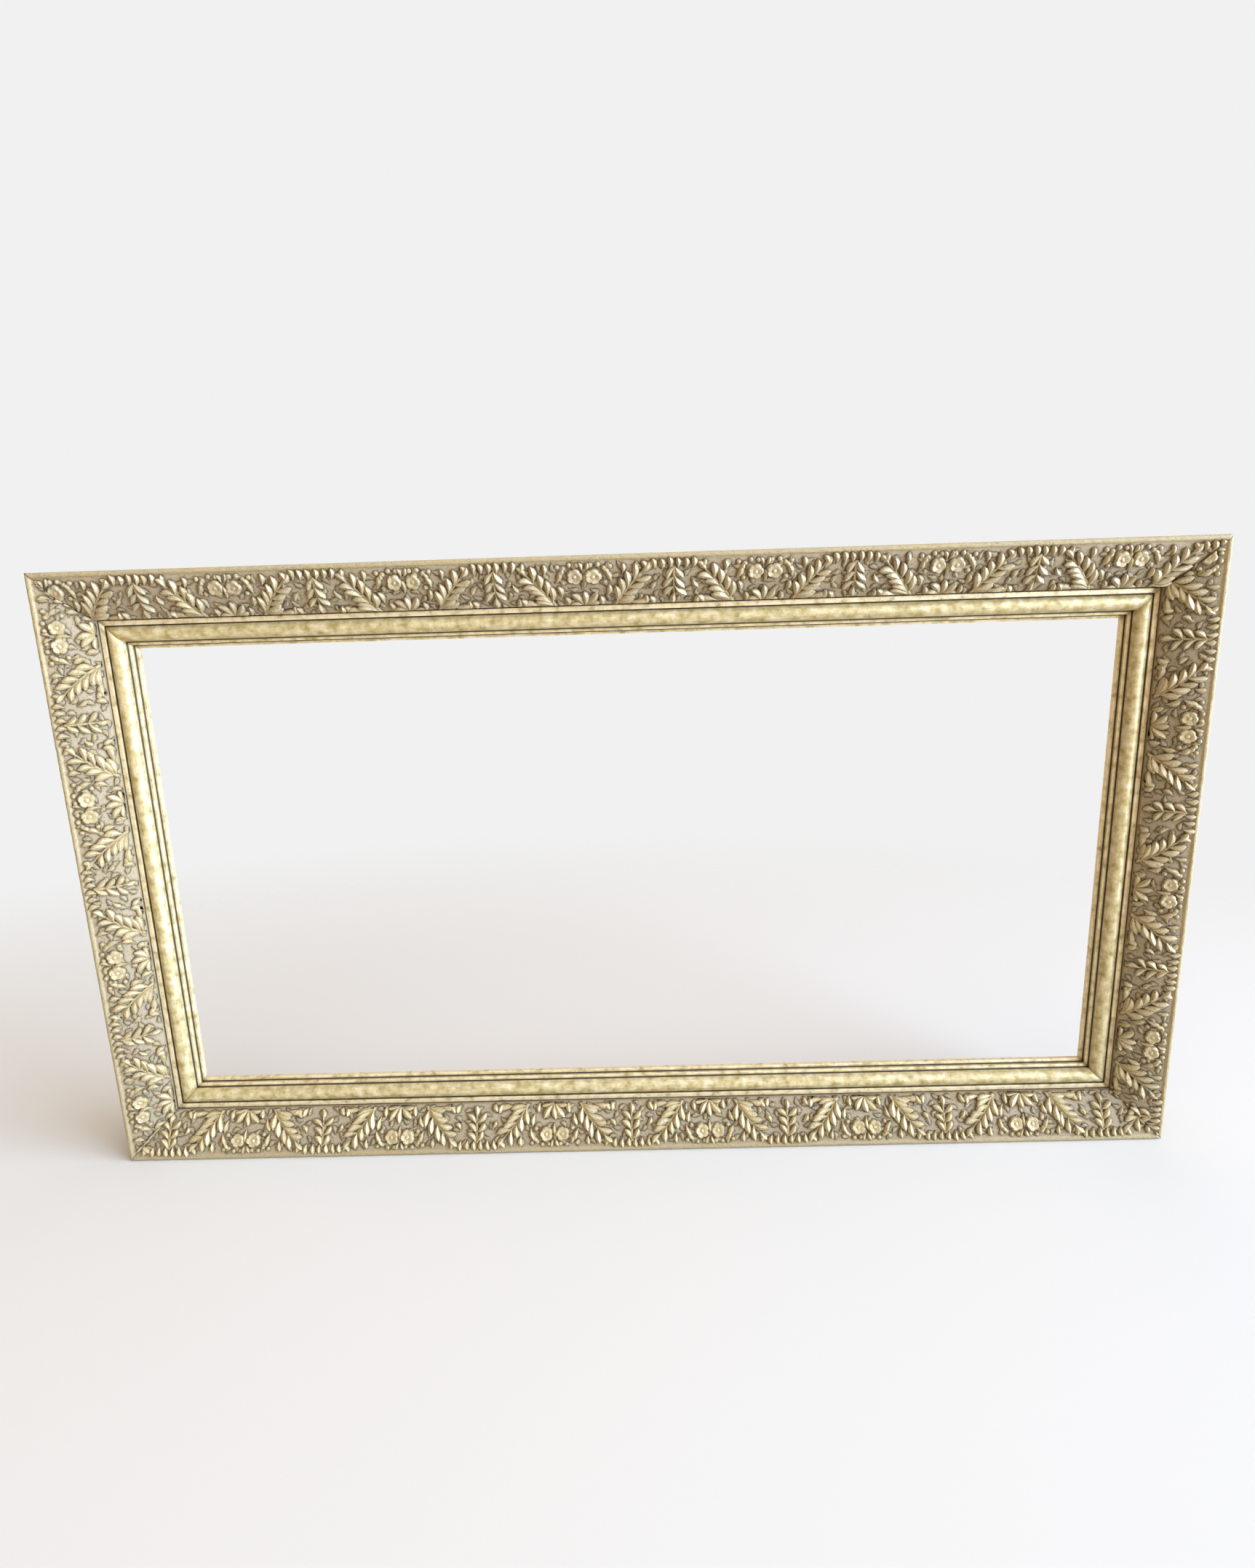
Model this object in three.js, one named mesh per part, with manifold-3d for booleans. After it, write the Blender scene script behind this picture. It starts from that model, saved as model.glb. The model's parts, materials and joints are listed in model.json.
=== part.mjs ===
// Gilded picture frame: a deep mitred moulding with pressed leaf ornament round a separate gilt slip.
// Millimetres. X runs across the frame, Z up. The front faces -Y and the flat back lies at Y = 0.
// The origin is the middle of the opening, in the plane of the back.

import * as THREE from 'three';
import { mergeVertices } from 'three/addons/utils/BufferGeometryUtils.js';
import Module from 'manifold-3d';

const wasm = await Module();
wasm.setup();

// Outside of the frame
const FRAME_WIDTH = 1160;
const FRAME_HEIGHT = 650;

// Gaps: a glue line between laid pieces, the two halves of a mitre, and a seat between fitted pieces
const GLUE_GAP = 0.3;
const MITRE_GAP = 0.15;
const SEAT_GAP = 0.3;

// Slip, the inner gilt moulding, from its back to its front
const SLIP_BACK_RECESS = 5;
const REBATE_DEPTH = 7;
const REBATE_WIDTH = 8;
const SIGHT_EDGE = 5;
const STEP_COUNT = 2;
const STEP_RISE = 4.6;
const STEP_SLOPE = 0.9;
const STEP_WIDTH = 3.7;
const TORUS_WIDTH = 15;
const TORUS_RISE = 5;
const QUIRK_WIDTH = 1;
const QUIRK_DEPTH = 2.4;
const FILLET_WIDTH = 5;
const FLANGE_STEP = 2.8;

// Core, the wooden moulding that carries the ornament
const SHADOW_JOINT = 1;
const LIP_EDGE = 1.8;
const LIP_REACH = 7.6;
const SLIP_SIDE_GAP = 0.5;
const BACK_CHAMFER = 1.5;

// Ornament, a layer of composition pressed on the core
const RIM_WIDTH = 6;
const RIM_STEP = 2;
const RIM_ROUND = 1.8;
const FIELD_WIDTH = 41.6;
const FIELD_RISE = 22.5;
const FIELD_CROWN = 3.6;
const COMPO_THICKNESS = 2.8;

// Mean height of the stippling, beads and small leaves that fill the ground between the main leaves
const GROUND_FILL = 1.2;

// Pressed leaves and flowers, measured along the rail and up the field as if it were unrolled flat
const REPEAT_LENGTH = 175;
const RELIEF = 4.6;
const RELIEF_ROOT = 0.3;
const FLOWER_RADIUS = 9.6;
const FLOWER_CROWN_RADIUS = 6.4;
const FLOWER_SPREAD = 9.6;
const FLOWER_DROP = 14.4;
const PALMETTE_FOOT = 4.5;
const PALMETTE_LENGTH = 21;
const PALMETTE_WIDTH = 12.5;
const PALMETTE_LEAVES = 3;
const PALMETTE_FAN = THREE.MathUtils.degToRad(50);
const SPRAY_FOOT_SPREAD = 29;
const SPRAY_BEND_SPREAD = 39;
const SPRAY_HEAD_SPREAD = 57;
const SPRAY_BEND = 18;
const SPRAY_HEAD_DROP = 12;
const SPRAY_PAIRS = 4;
const SPRAY_FIRST_PAIR = 0.14;
const SPRAY_END_LEAF = 0.96;
const LEAF_LENGTH = 24;
const LEAF_WIDTH = 12.5;
const LEAF_DWINDLE = 0.24;
const LEAF_SPREAD = THREE.MathUtils.degToRad(45);
const FOOT_LEAF_SPREAD = 32;
const FOOT_LEAF_RISE = 4.5;
const FOOT_LEAF_TURN = THREE.MathUtils.degToRad(74);
const FOOT_LEAF_LENGTH = 40;
const FOOT_LEAF_WIDTH = 14;
const SPRIG_HEAD_DROP = 8;
const SPRIG_PITCH = 15;
const SPRIG_TIERS = 2;
const SPRIG_LEAF_LENGTH = 22;
const SPRIG_LEAF_WIDTH = 15;
const BUD_COUNT = 4;
const BUD_PITCH = 11;
const BUD_LENGTH = 9.4;
const BUD_WIDTH = 11;

// Feather keys across the outer corners
const KEY_LEG = 34;
const KEY_THICKNESS = 3.2;
const KEY_HEIGHT = 20;

// Brads that hold the slip in the core
const BRAD_RADIUS = 0.8;
const BRAD_POINT = 1.6;
const BRAD_GRIP = 12;
const BRAD_SHOW = 11;
const BRAD_HEAD_RADIUS = 1.5;
const BRAD_HEAD_THICKNESS = 0.8;
const BRAD_END_INSET = 60;

// Turn buttons that close the back over a picture
const BUTTONS_ON_RAIL = 3;
const BUTTONS_ON_STILE = 1;
const BUTTON_PIVOT_INSET = 10;
const BUTTON_HEEL_RADIUS = 5.2;
const BUTTON_TIP_RADIUS = 3.4;
const BUTTON_ARM = 13;
const BUTTON_THICKNESS = 1.5;

// Strap hangers
const HANGER_ABOVE_CENTRE = 110;
const STRAP_WIDTH = 12;
const STRAP_THICKNESS = 1.2;
const STRAP_RING_TO_SCREW = 1.4;
const STRAP_SCREW_PITCH = 11;
const STRAP_TAIL = 7;
const RING_WIRE_RADIUS = 1.5;
const RING_WIDTH = 20;
const RING_CORNER = 3;
const RING_LEG = 9;

// Round-headed wood screws
const SCREW_RADIUS = 1.5;
const SCREW_LENGTH = 14;
const SCREW_POINT = 3;
const SCREW_HEAD_RADIUS = 3.1;
const SCREW_HEAD_HEIGHT = 2;
const SCREW_SHOULDER_RADIUS = 2.3;
const SCREW_SHOULDER_HEIGHT = 1.6;
const SCREWS_PER_STRAP = 2;

// Facets of round forms
const FIELD_FACETS = 3;
const FLOWER_FACETS = 5;
const LEAF_SIDES = 4;
const TORUS_FACETS = 8;
const ROUND_FACETS = 8;
const ARC_SEGMENTS = 5;
const BORE_FACETS = 8;
const RING_STEPS = 24;
const RING_FACETS = 7;
const CUT_OVERRUN = 2;

// Distances in from the outer edge
const bandInner = RIM_WIDTH + FIELD_WIDTH;
const coreWall = bandInner - LIP_REACH;
const slipOuter = coreWall + SLIP_SIDE_GAP;
const filletOuter = bandInner + SHADOW_JOINT;
const torusOuter = filletOuter + FILLET_WIDTH + QUIRK_WIDTH;
const torusInner = torusOuter + TORUS_WIDTH;
const sightInner = torusInner + QUIRK_WIDTH + STEP_COUNT * STEP_WIDTH;
const rebateWall = sightInner - REBATE_WIDTH;

// Crown of the ornament field: a circle through its head and foot, with heights counted from the foot
const fieldChord = Math.hypot(FIELD_WIDTH, FIELD_RISE);
const fieldRadius = fieldChord ** 2 / (8 * FIELD_CROWN) + FIELD_CROWN / 2;
const fieldCentreDrop = fieldRadius - FIELD_CROWN;
const fieldCentreInset = RIM_WIDTH + FIELD_WIDTH / 2 - (fieldCentreDrop * FIELD_RISE) / fieldChord;
const fieldCentreRise = FIELD_RISE / 2 - (fieldCentreDrop * FIELD_WIDTH) / fieldChord;

// Height over the field's foot of the surface that lies a given depth below the crown
function fieldHeight(inset, below) {
  return fieldCentreRise + Math.sqrt((fieldRadius - below) ** 2 - (inset - fieldCentreInset) ** 2);
}

// Heights above the back plane, stacked from the slip's back to the rim
const slipBack = SLIP_BACK_RECESS;
const ledgeHeight = slipBack + REBATE_DEPTH;
const sightFront = ledgeHeight + SIGHT_EDGE;
const torusFoot = sightFront + STEP_COUNT * (STEP_RISE + STEP_SLOPE);
const filletTop = torusFoot + QUIRK_DEPTH;
const flangeTop = filletTop - FLANGE_STEP;
const lipUnder = flangeTop + SEAT_GAP;
const fieldFoot = lipUnder + LIP_EDGE - fieldHeight(bandInner, COMPO_THICKNESS + GLUE_GAP);
const rimTop = fieldFoot + FIELD_RISE + RIM_STEP;

// The field unrolled flat, from its foot to its head
const footTurn = Math.asin((bandInner - fieldCentreInset) / fieldRadius);
const headTurn = Math.asin((RIM_WIDTH - fieldCentreInset) / fieldRadius);
const fieldLength = fieldRadius * (footTurn - headTurn);

const materials = {
  core: new THREE.MeshStandardMaterial({ color: 0x9c7a4f, roughness: 0.8, metalness: 0 }),
  ornament: new THREE.MeshStandardMaterial({ color: 0xb6a37c, roughness: 0.5, metalness: 0.6 }),
  slip: new THREE.MeshStandardMaterial({ color: 0xcfb878, roughness: 0.35, metalness: 0.8 }),
  key: new THREE.MeshStandardMaterial({ color: 0x7a5a38, roughness: 0.8, metalness: 0 }),
  brass: new THREE.MeshStandardMaterial({ color: 0xb08d4a, roughness: 0.4, metalness: 1 }),
  steel: new THREE.MeshStandardMaterial({ color: 0x77756f, roughness: 0.5, metalness: 1 }),
};

const frame = new THREE.Group();

function addPiece(group, name, geometry, material) {
  const piece = new THREE.Mesh(geometry, material);
  piece.name = name;
  group.add(piece);
  return piece;
}

// Middles of equal stretches of a span about its middle
function stretchMiddles(count, span) {
  return Array.from({ length: count }, (_, i) => span * ((i + 0.5) / count - 0.5));
}

// Ends of the same stretches, with the outermost two drawn in from the corners
function stretchEnds(count, span, drawnIn) {
  return Array.from({ length: count + 1 }, (_, i) => {
    const place = span * (i / count - 0.5);
    return Math.max(drawnIn - span / 2, Math.min(span / 2 - drawnIn, place));
  });
}

// Solids for cutting and joining

function toSolid(geometry) {
  const bare = geometry.clone();
  bare.deleteAttribute('normal');
  bare.deleteAttribute('uv');
  const merged = mergeVertices(bare, 1e-4);
  const vertProperties = Float32Array.from(merged.attributes.position.array);
  const triVerts = Uint32Array.from(merged.index.array);
  return new wasm.Manifold(new wasm.Mesh({ numProp: 3, vertProperties, triVerts }));
}

function toGeometry(solid) {
  const mesh = solid.getMesh();
  const geometry = new THREE.BufferGeometry();
  geometry.setAttribute('position', new THREE.BufferAttribute(Float32Array.from(mesh.vertProperties), 3));
  geometry.setIndex(Array.from(mesh.triVerts));
  return geometry;
}

function cutFrom(geometry, cutters) {
  if (cutters.length === 0) return geometry;
  let solid = toSolid(geometry);
  for (const cutter of cutters) solid = solid.subtract(toSolid(cutter));
  return toGeometry(solid);
}

// A bore for a shank along Y, from just behind the surface down to its depth
function boreAlongY(x, z, surface, depth, radius) {
  const bore = new THREE.CylinderGeometry(radius, radius, depth + CUT_OVERRUN, BORE_FACETS);
  bore.translate(x, surface + (CUT_OVERRUN - depth) / 2, z);
  return bore;
}

// Moulding profiles, as [distance in from the outer edge, height above the back]

// Points of the field's crown, or of a surface below it, between two distances in from the edge
function fieldArc(below, from, to) {
  const points = [];
  for (let i = 0; i <= FIELD_FACETS; i += 1) {
    const inset = from + ((to - from) * i) / FIELD_FACETS;
    points.push([inset, fieldFoot + fieldHeight(inset, below)]);
  }
  return points;
}

function coreProfile() {
  return [
    [BACK_CHAMFER, 0],
    [0, BACK_CHAMFER],
    ...fieldArc(COMPO_THICKNESS + GLUE_GAP, 0, bandInner),
    [bandInner, lipUnder],
    [coreWall, lipUnder],
    [coreWall, 0],
  ];
}

function ornamentProfile() {
  return [
    ...fieldArc(COMPO_THICKNESS, bandInner, 0),
    [0, rimTop - RIM_ROUND],
    [RIM_ROUND, rimTop],
    [RIM_WIDTH - RIM_ROUND, rimTop],
    ...fieldArc(-GROUND_FILL, RIM_WIDTH, bandInner),
  ];
}

// Torus across the slip's face, a flat arc between two quirks
function torusArc() {
  const radius = TORUS_WIDTH ** 2 / (8 * TORUS_RISE) + TORUS_RISE / 2;
  const halfTurn = Math.asin(TORUS_WIDTH / 2 / radius);
  const middle = (torusOuter + torusInner) / 2;
  const points = [];
  for (let i = 0; i <= TORUS_FACETS; i += 1) {
    const turn = halfTurn * ((2 * i) / TORUS_FACETS - 1);
    points.push([middle + radius * Math.sin(turn), torusFoot + TORUS_RISE - radius * (1 - Math.cos(turn))]);
  }
  return points;
}

function slipSteps() {
  const points = [];
  for (let step = 0; step < STEP_COUNT; step += 1) {
    const inset = torusInner + QUIRK_WIDTH + step * STEP_WIDTH;
    const height = torusFoot - STEP_RISE - step * (STEP_RISE + STEP_SLOPE);
    points.push([inset, height]);
    points.push([inset + STEP_WIDTH, height - STEP_SLOPE]);
  }
  return points;
}

function slipProfile() {
  return [
    [slipOuter, slipBack],
    [slipOuter, flangeTop],
    [filletOuter, flangeTop],
    [filletOuter, filletTop],
    [filletOuter + FILLET_WIDTH, filletTop],
    [filletOuter + FILLET_WIDTH, torusFoot],
    ...torusArc(),
    [torusInner + QUIRK_WIDTH / 2, torusFoot - QUIRK_DEPTH],
    ...slipSteps(),
    [sightInner, ledgeHeight],
    [rebateWall, ledgeHeight],
    [rebateWall, slipBack],
  ];
}

// A length of moulding along X, its outer edge at Z = halfExtent, with both ends mitred
function mitredLength(profile, halfLength, halfExtent) {
  const points = profile.map(([inset, height]) => new THREE.Vector2(-height, halfExtent - inset));
  const geometry = new THREE.ExtrudeGeometry(new THREE.Shape(points), { depth: 1, bevelEnabled: false });
  const alongX = new THREE.Matrix4().makeBasis(
    new THREE.Vector3(0, 1, 0),
    new THREE.Vector3(0, 0, 1),
    new THREE.Vector3(1, 0, 0),
  );
  geometry.applyMatrix4(alongX);
  const position = geometry.attributes.position;
  for (let i = 0; i < position.count; i += 1) {
    const inset = halfExtent - position.getZ(i);
    const end = position.getX(i) > 0 ? 1 : -1;
    position.setX(i, end * (halfLength - inset - MITRE_GAP));
  }
  return geometry;
}

// Pressed ornament: leaf and flower masses laid out flat, wrapped over the field and joined to its ground.
// Flat places are along the rail, up from the field's foot and out of the ground.

// The masses are rooted below the crown, so a cone's base is wider than the leaf drawn on it
const rootSpread = (RELIEF + RELIEF_ROOT) / RELIEF;

// A leaf growing from its stem, turned from upright towards the rail's far end
function leafMass(along, up, turn, length, width) {
  const leaf = new THREE.ConeGeometry(rootSpread, RELIEF + RELIEF_ROOT, LEAF_SIDES);
  leaf.rotateX(Math.PI / 2);
  leaf.scale(width / 2, length / 2, 1);
  leaf.translate(0, length / 2, (RELIEF - RELIEF_ROOT) / 2);
  leaf.rotateZ(-turn);
  leaf.translate(along, up, 0);
  return leaf;
}

function flowerMass(along, up) {
  const height = RELIEF + RELIEF_ROOT;
  const flower = new THREE.CylinderGeometry(FLOWER_CROWN_RADIUS, FLOWER_RADIUS, height, FLOWER_FACETS);
  flower.rotateX(Math.PI / 2);
  flower.translate(along, up, (RELIEF - RELIEF_ROOT) / 2);
  return flower;
}

function palmetteMasses() {
  return stretchMiddles(PALMETTE_LEAVES, PALMETTE_LEAVES).map((place) => (
    leafMass(0, PALMETTE_FOOT, place * PALMETTE_FAN, PALMETTE_LENGTH, PALMETTE_WIDTH)
  ));
}

// A bending spray on one side of the flowers: pairs of leaves that dwindle towards an end leaf
function sprayMasses(side) {
  const line = new THREE.QuadraticBezierCurve(
    new THREE.Vector2(SPRAY_FOOT_SPREAD, 0),
    new THREE.Vector2(SPRAY_BEND_SPREAD, SPRAY_BEND),
    new THREE.Vector2(SPRAY_HEAD_SPREAD, fieldLength - SPRAY_HEAD_DROP),
  );
  const masses = [];
  for (let pair = 0; pair <= SPRAY_PAIRS; pair += 1) {
    const share = THREE.MathUtils.lerp(SPRAY_FIRST_PAIR, SPRAY_END_LEAF, pair / SPRAY_PAIRS);
    const place = line.getPoint(share);
    const heading = line.getTangent(share);
    const turn = Math.atan2(heading.x, heading.y);
    const size = 1 - LEAF_DWINDLE * share;
    const turns = pair < SPRAY_PAIRS ? [turn - LEAF_SPREAD, turn + LEAF_SPREAD] : [turn];
    for (const leafTurn of turns) {
      masses.push(leafMass(side * place.x, place.y, side * leafTurn, size * LEAF_LENGTH, size * LEAF_WIDTH));
    }
  }
  return masses;
}

// A long leaf lying along the foot of the field, from each spray towards the sprig
function footMass(side) {
  const turn = side * FOOT_LEAF_TURN;
  return leafMass(side * FOOT_LEAF_SPREAD, FOOT_LEAF_RISE, turn, FOOT_LEAF_LENGTH, FOOT_LEAF_WIDTH);
}

// A hanging sprig halfway between two pairs of flowers, below a row of upright buds
function sprigMasses() {
  const along = REPEAT_LENGTH / 2;
  const masses = stretchMiddles(BUD_COUNT, BUD_COUNT * BUD_PITCH).map((place) => (
    leafMass(along + place, fieldLength - BUD_LENGTH, 0, BUD_LENGTH, BUD_WIDTH)
  ));
  for (let tier = 0; tier < SPRIG_TIERS; tier += 1) {
    const up = fieldLength - SPRIG_HEAD_DROP - tier * SPRIG_PITCH;
    for (const lean of [-LEAF_SPREAD, LEAF_SPREAD]) {
      masses.push(leafMass(along, up, Math.PI + lean, SPRIG_LEAF_LENGTH, SPRIG_LEAF_WIDTH));
    }
  }
  return masses;
}

function repeatMasses() {
  const masses = [...palmetteMasses(), ...sprigMasses()];
  for (const side of [-1, 1]) {
    masses.push(flowerMass(side * FLOWER_SPREAD, fieldLength - FLOWER_DROP));
    masses.push(...sprayMasses(side), footMass(side));
  }
  return masses;
}

// Lays a flat mass over the field's crown
function wrapOnField(geometry, shift, halfExtent) {
  const position = geometry.attributes.position;
  for (let i = 0; i < position.count; i += 1) {
    const turn = footTurn - position.getY(i) / fieldRadius;
    const reach = fieldRadius + position.getZ(i);
    const inset = fieldCentreInset + reach * Math.sin(turn);
    const height = fieldFoot + fieldCentreRise + reach * Math.cos(turn);
    position.setXYZ(i, position.getX(i) + shift, -height, halfExtent - inset);
  }
  return geometry;
}

// Room that the relief may fill: from inside the composition to above the rim, with the same mitres
function reliefRoom() {
  return [
    ...fieldArc(RELIEF_ROOT, bandInner, 0).map(([inset, height]) => [inset, height - RELIEF_ROOT]),
    [0, rimTop + RELIEF],
    [bandInner, rimTop + RELIEF],
  ];
}

// A length of ornament whose first pair of flowers stands at the given place along it
function ornamentLength(halfLength, halfExtent, flowerPlace) {
  const masses = [];
  const first = Math.floor((-halfLength - flowerPlace) / REPEAT_LENGTH);
  const last = Math.ceil((halfLength - flowerPlace) / REPEAT_LENGTH);
  for (let repeat = first; repeat <= last; repeat += 1) {
    const shift = flowerPlace + repeat * REPEAT_LENGTH;
    for (const mass of repeatMasses()) masses.push(toSolid(wrapOnField(mass, shift, halfExtent)));
  }
  const room = toSolid(mitredLength(reliefRoom(), halfLength, halfExtent));
  const ground = toSolid(mitredLength(ornamentProfile(), halfLength, halfExtent));
  return toGeometry(ground.add(wasm.Manifold.union(masses).intersect(room)));
}

// Feather key: a thin triangle let into both rails across a corner, flush with their outer sides

function keyTriangle(leg, overrun) {
  const reach = leg + 2 * overrun;
  return new THREE.Shape([
    new THREE.Vector2(overrun, overrun),
    new THREE.Vector2(overrun - reach, overrun),
    new THREE.Vector2(overrun, overrun - reach),
  ]);
}

// The triangle lies in the plane of the back, with its square corner at the local origin
function keyPlate(leg, overrun, thickness) {
  const options = { depth: thickness, bevelEnabled: false };
  const plate = new THREE.ExtrudeGeometry(keyTriangle(leg, overrun), options);
  plate.rotateX(Math.PI / 2);
  plate.translate(0, thickness / 2 - KEY_HEIGHT, 0);
  return plate;
}

function keySlots(halfLength, halfExtent) {
  const slotLeg = KEY_LEG + Math.SQRT2 * SEAT_GAP;
  return [0, 1].map((end) => {
    const slot = keyPlate(slotLeg, CUT_OVERRUN, KEY_THICKNESS + 2 * SEAT_GAP);
    if (end === 1) slot.rotateY(-Math.PI / 2);
    slot.translate((1 - 2 * end) * halfLength, 0, halfExtent);
    return slot;
  });
}

// Brads, driven through the slip's recess into the wall of the core

const bradHeight = slipBack - SEAT_GAP - BRAD_HEAD_RADIUS;

function bradPiece() {
  const points = [
    new THREE.Vector2(0, -BRAD_GRIP),
    new THREE.Vector2(BRAD_RADIUS, -BRAD_GRIP + BRAD_POINT),
    new THREE.Vector2(BRAD_RADIUS, BRAD_SHOW - BRAD_HEAD_THICKNESS),
    new THREE.Vector2(BRAD_HEAD_RADIUS, BRAD_SHOW - BRAD_HEAD_THICKNESS),
    new THREE.Vector2(BRAD_HEAD_RADIUS, BRAD_SHOW),
    new THREE.Vector2(0, BRAD_SHOW),
  ];
  const brad = new THREE.LatheGeometry(points, BORE_FACETS);
  brad.rotateX(-Math.PI / 2);
  return brad;
}

function bradHole(x, halfExtent) {
  const radius = BRAD_RADIUS + SEAT_GAP;
  const length = BRAD_GRIP + CUT_OVERRUN;
  const hole = new THREE.CylinderGeometry(radius, radius, length, BORE_FACETS);
  hole.rotateX(Math.PI / 2);
  hole.translate(x, -bradHeight, halfExtent - coreWall + (length - 2 * CUT_OVERRUN) / 2 + SEAT_GAP);
  return hole;
}

// Round-headed screw along Y, with the underside of its head at the local origin
function screwPiece() {
  const points = [
    new THREE.Vector2(0, -SCREW_LENGTH),
    new THREE.Vector2(SCREW_RADIUS, -SCREW_LENGTH + SCREW_POINT),
    new THREE.Vector2(SCREW_RADIUS, 0),
    new THREE.Vector2(SCREW_HEAD_RADIUS, 0),
    new THREE.Vector2(SCREW_SHOULDER_RADIUS, SCREW_SHOULDER_HEIGHT),
    new THREE.Vector2(0, SCREW_HEAD_HEIGHT),
  ];
  return new THREE.LatheGeometry(points, ROUND_FACETS);
}

const screwBoreRadius = SCREW_RADIUS + 2 * SEAT_GAP;

// Turn button: a flat drop shape that turns on its screw, lying along the moulding when it is open

const buttonRest = -(slipBack - SEAT_GAP);
const buttonScrewSeat = buttonRest + BUTTON_THICKNESS + SEAT_GAP;

function buttonPiece() {
  const flare = Math.acos((BUTTON_HEEL_RADIUS - BUTTON_TIP_RADIUS) / BUTTON_ARM);
  const outline = new THREE.Shape();
  outline.absarc(0, 0, BUTTON_HEEL_RADIUS, flare, 2 * Math.PI - flare, false);
  outline.absarc(BUTTON_ARM, 0, BUTTON_TIP_RADIUS, -flare, flare, false);
  const bore = new THREE.Path();
  bore.absarc(0, 0, screwBoreRadius, 0, 2 * Math.PI, true);
  outline.holes.push(bore);
  const options = { depth: BUTTON_THICKNESS, bevelEnabled: false, curveSegments: ARC_SEGMENTS };
  const button = new THREE.ExtrudeGeometry(outline, options);
  button.rotateX(-Math.PI / 2);
  return button;
}

// Strap hanger: a strip rolled round the straight bar of a wire ring and screwed to a stile

const eyeInner = RING_WIRE_RADIUS + SEAT_GAP;
const eyeOuter = eyeInner + STRAP_THICKNESS;
const eyeHeight = SEAT_GAP + eyeOuter;
const hangerInset = coreWall / 2;
const strapFace = SEAT_GAP + STRAP_THICKNESS;

// Screw places below the ring's bar, clear of the hanging ring, and the strap's end below the last of them
const ringReach = RING_CORNER + RING_LEG + RING_WIDTH / 2 + RING_WIRE_RADIUS;
const strapScrewFirst = ringReach + STRAP_RING_TO_SCREW + SCREW_HEAD_RADIUS;
const strapScrewDrops = Array.from(
  { length: SCREWS_PER_STRAP },
  (_, i) => strapScrewFirst + i * STRAP_SCREW_PITCH,
);
const strapLength = strapScrewDrops.at(-1) + STRAP_TAIL;

function strapPiece() {
  const meetZ = -Math.sqrt(eyeOuter ** 2 - (eyeHeight - strapFace) ** 2);
  const meetTurn = Math.atan2(meetZ, strapFace - eyeHeight);
  const side = new THREE.Shape();
  side.moveTo(SEAT_GAP, -strapLength);
  side.lineTo(strapFace, -strapLength);
  side.lineTo(strapFace, meetZ);
  side.absarc(eyeHeight, 0, eyeOuter, meetTurn, Math.PI, false);
  side.lineTo(SEAT_GAP, -strapLength);
  const eye = new THREE.Path();
  eye.absarc(eyeHeight, 0, eyeInner, 0, 2 * Math.PI, true);
  side.holes.push(eye);
  const rounded = { bevelEnabled: false, curveSegments: ARC_SEGMENTS };
  const strip = new THREE.ExtrudeGeometry(side, { depth: STRAP_WIDTH, ...rounded });
  strip.applyMatrix4(new THREE.Matrix4().makeBasis(
    new THREE.Vector3(0, 1, 0),
    new THREE.Vector3(0, 0, 1),
    new THREE.Vector3(1, 0, 0),
  ));
  strip.translate(-STRAP_WIDTH / 2, 0, 0);

  const front = new THREE.Shape();
  front.moveTo(-STRAP_WIDTH / 2, 2 * eyeOuter);
  front.lineTo(-STRAP_WIDTH / 2, STRAP_WIDTH / 2 - strapLength);
  front.absarc(0, STRAP_WIDTH / 2 - strapLength, STRAP_WIDTH / 2, Math.PI, 2 * Math.PI, false);
  front.lineTo(STRAP_WIDTH / 2, 2 * eyeOuter);
  const blankDepth = 4 * eyeOuter;
  const blank = new THREE.ExtrudeGeometry(front, { depth: blankDepth, ...rounded });
  blank.rotateX(Math.PI / 2);
  blank.translate(0, blankDepth - eyeOuter, 0);

  let solid = toSolid(strip).intersect(toSolid(blank));
  for (const drop of strapScrewDrops) {
    solid = solid.subtract(toSolid(boreAlongY(0, -drop, strapFace, 2 * strapFace, screwBoreRadius)));
  }
  return toGeometry(solid);
}

// Closed wire ring: a straight bar, two round corners, two legs and a half-round bow, hanging from the bar
class RingLine extends THREE.Curve {
  constructor() {
    super();
    const half = RING_WIDTH / 2;
    const legFoot = -RING_CORNER - RING_LEG;
    this.outline = new THREE.Path();
    this.outline.moveTo(0, 0);
    this.outline.lineTo(RING_CORNER - half, 0);
    this.outline.absarc(RING_CORNER - half, -RING_CORNER, RING_CORNER, Math.PI / 2, Math.PI, false);
    this.outline.lineTo(-half, legFoot);
    this.outline.absarc(0, legFoot, half, Math.PI, 2 * Math.PI, false);
    this.outline.lineTo(half, -RING_CORNER);
    this.outline.absarc(half - RING_CORNER, -RING_CORNER, RING_CORNER, 0, Math.PI / 2, false);
    this.outline.lineTo(0, 0);
  }

  getPoint(share, target = new THREE.Vector3()) {
    const point = this.outline.getPointAt(share % 1);
    return target.set(point.x, 0, point.y);
  }
}

function ringPiece() {
  return new THREE.TubeGeometry(new RingLine(), RING_STEPS, RING_WIRE_RADIUS, RING_FACETS, true);
}

// Sides of the frame: each is laid out as the top one and turned about Y into its place.
// The flower place is where the ornament's repeat falls on that side, since the mitres cut it anywhere.
const sides = [
  { name: 'top', core: 'rail_top', turn: 0, isRail: true, hangerSign: 0, flowerPlace: -38 },
  { name: 'right', core: 'stile_right', turn: Math.PI / 2, isRail: false, hangerSign: -1, flowerPlace: 36 },
  { name: 'bottom', core: 'rail_bottom', turn: Math.PI, isRail: true, hangerSign: 0, flowerPlace: 97 },
  { name: 'left', core: 'stile_left', turn: -Math.PI / 2, isRail: false, hangerSign: 1, flowerPlace: 87.5 },
];

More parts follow.
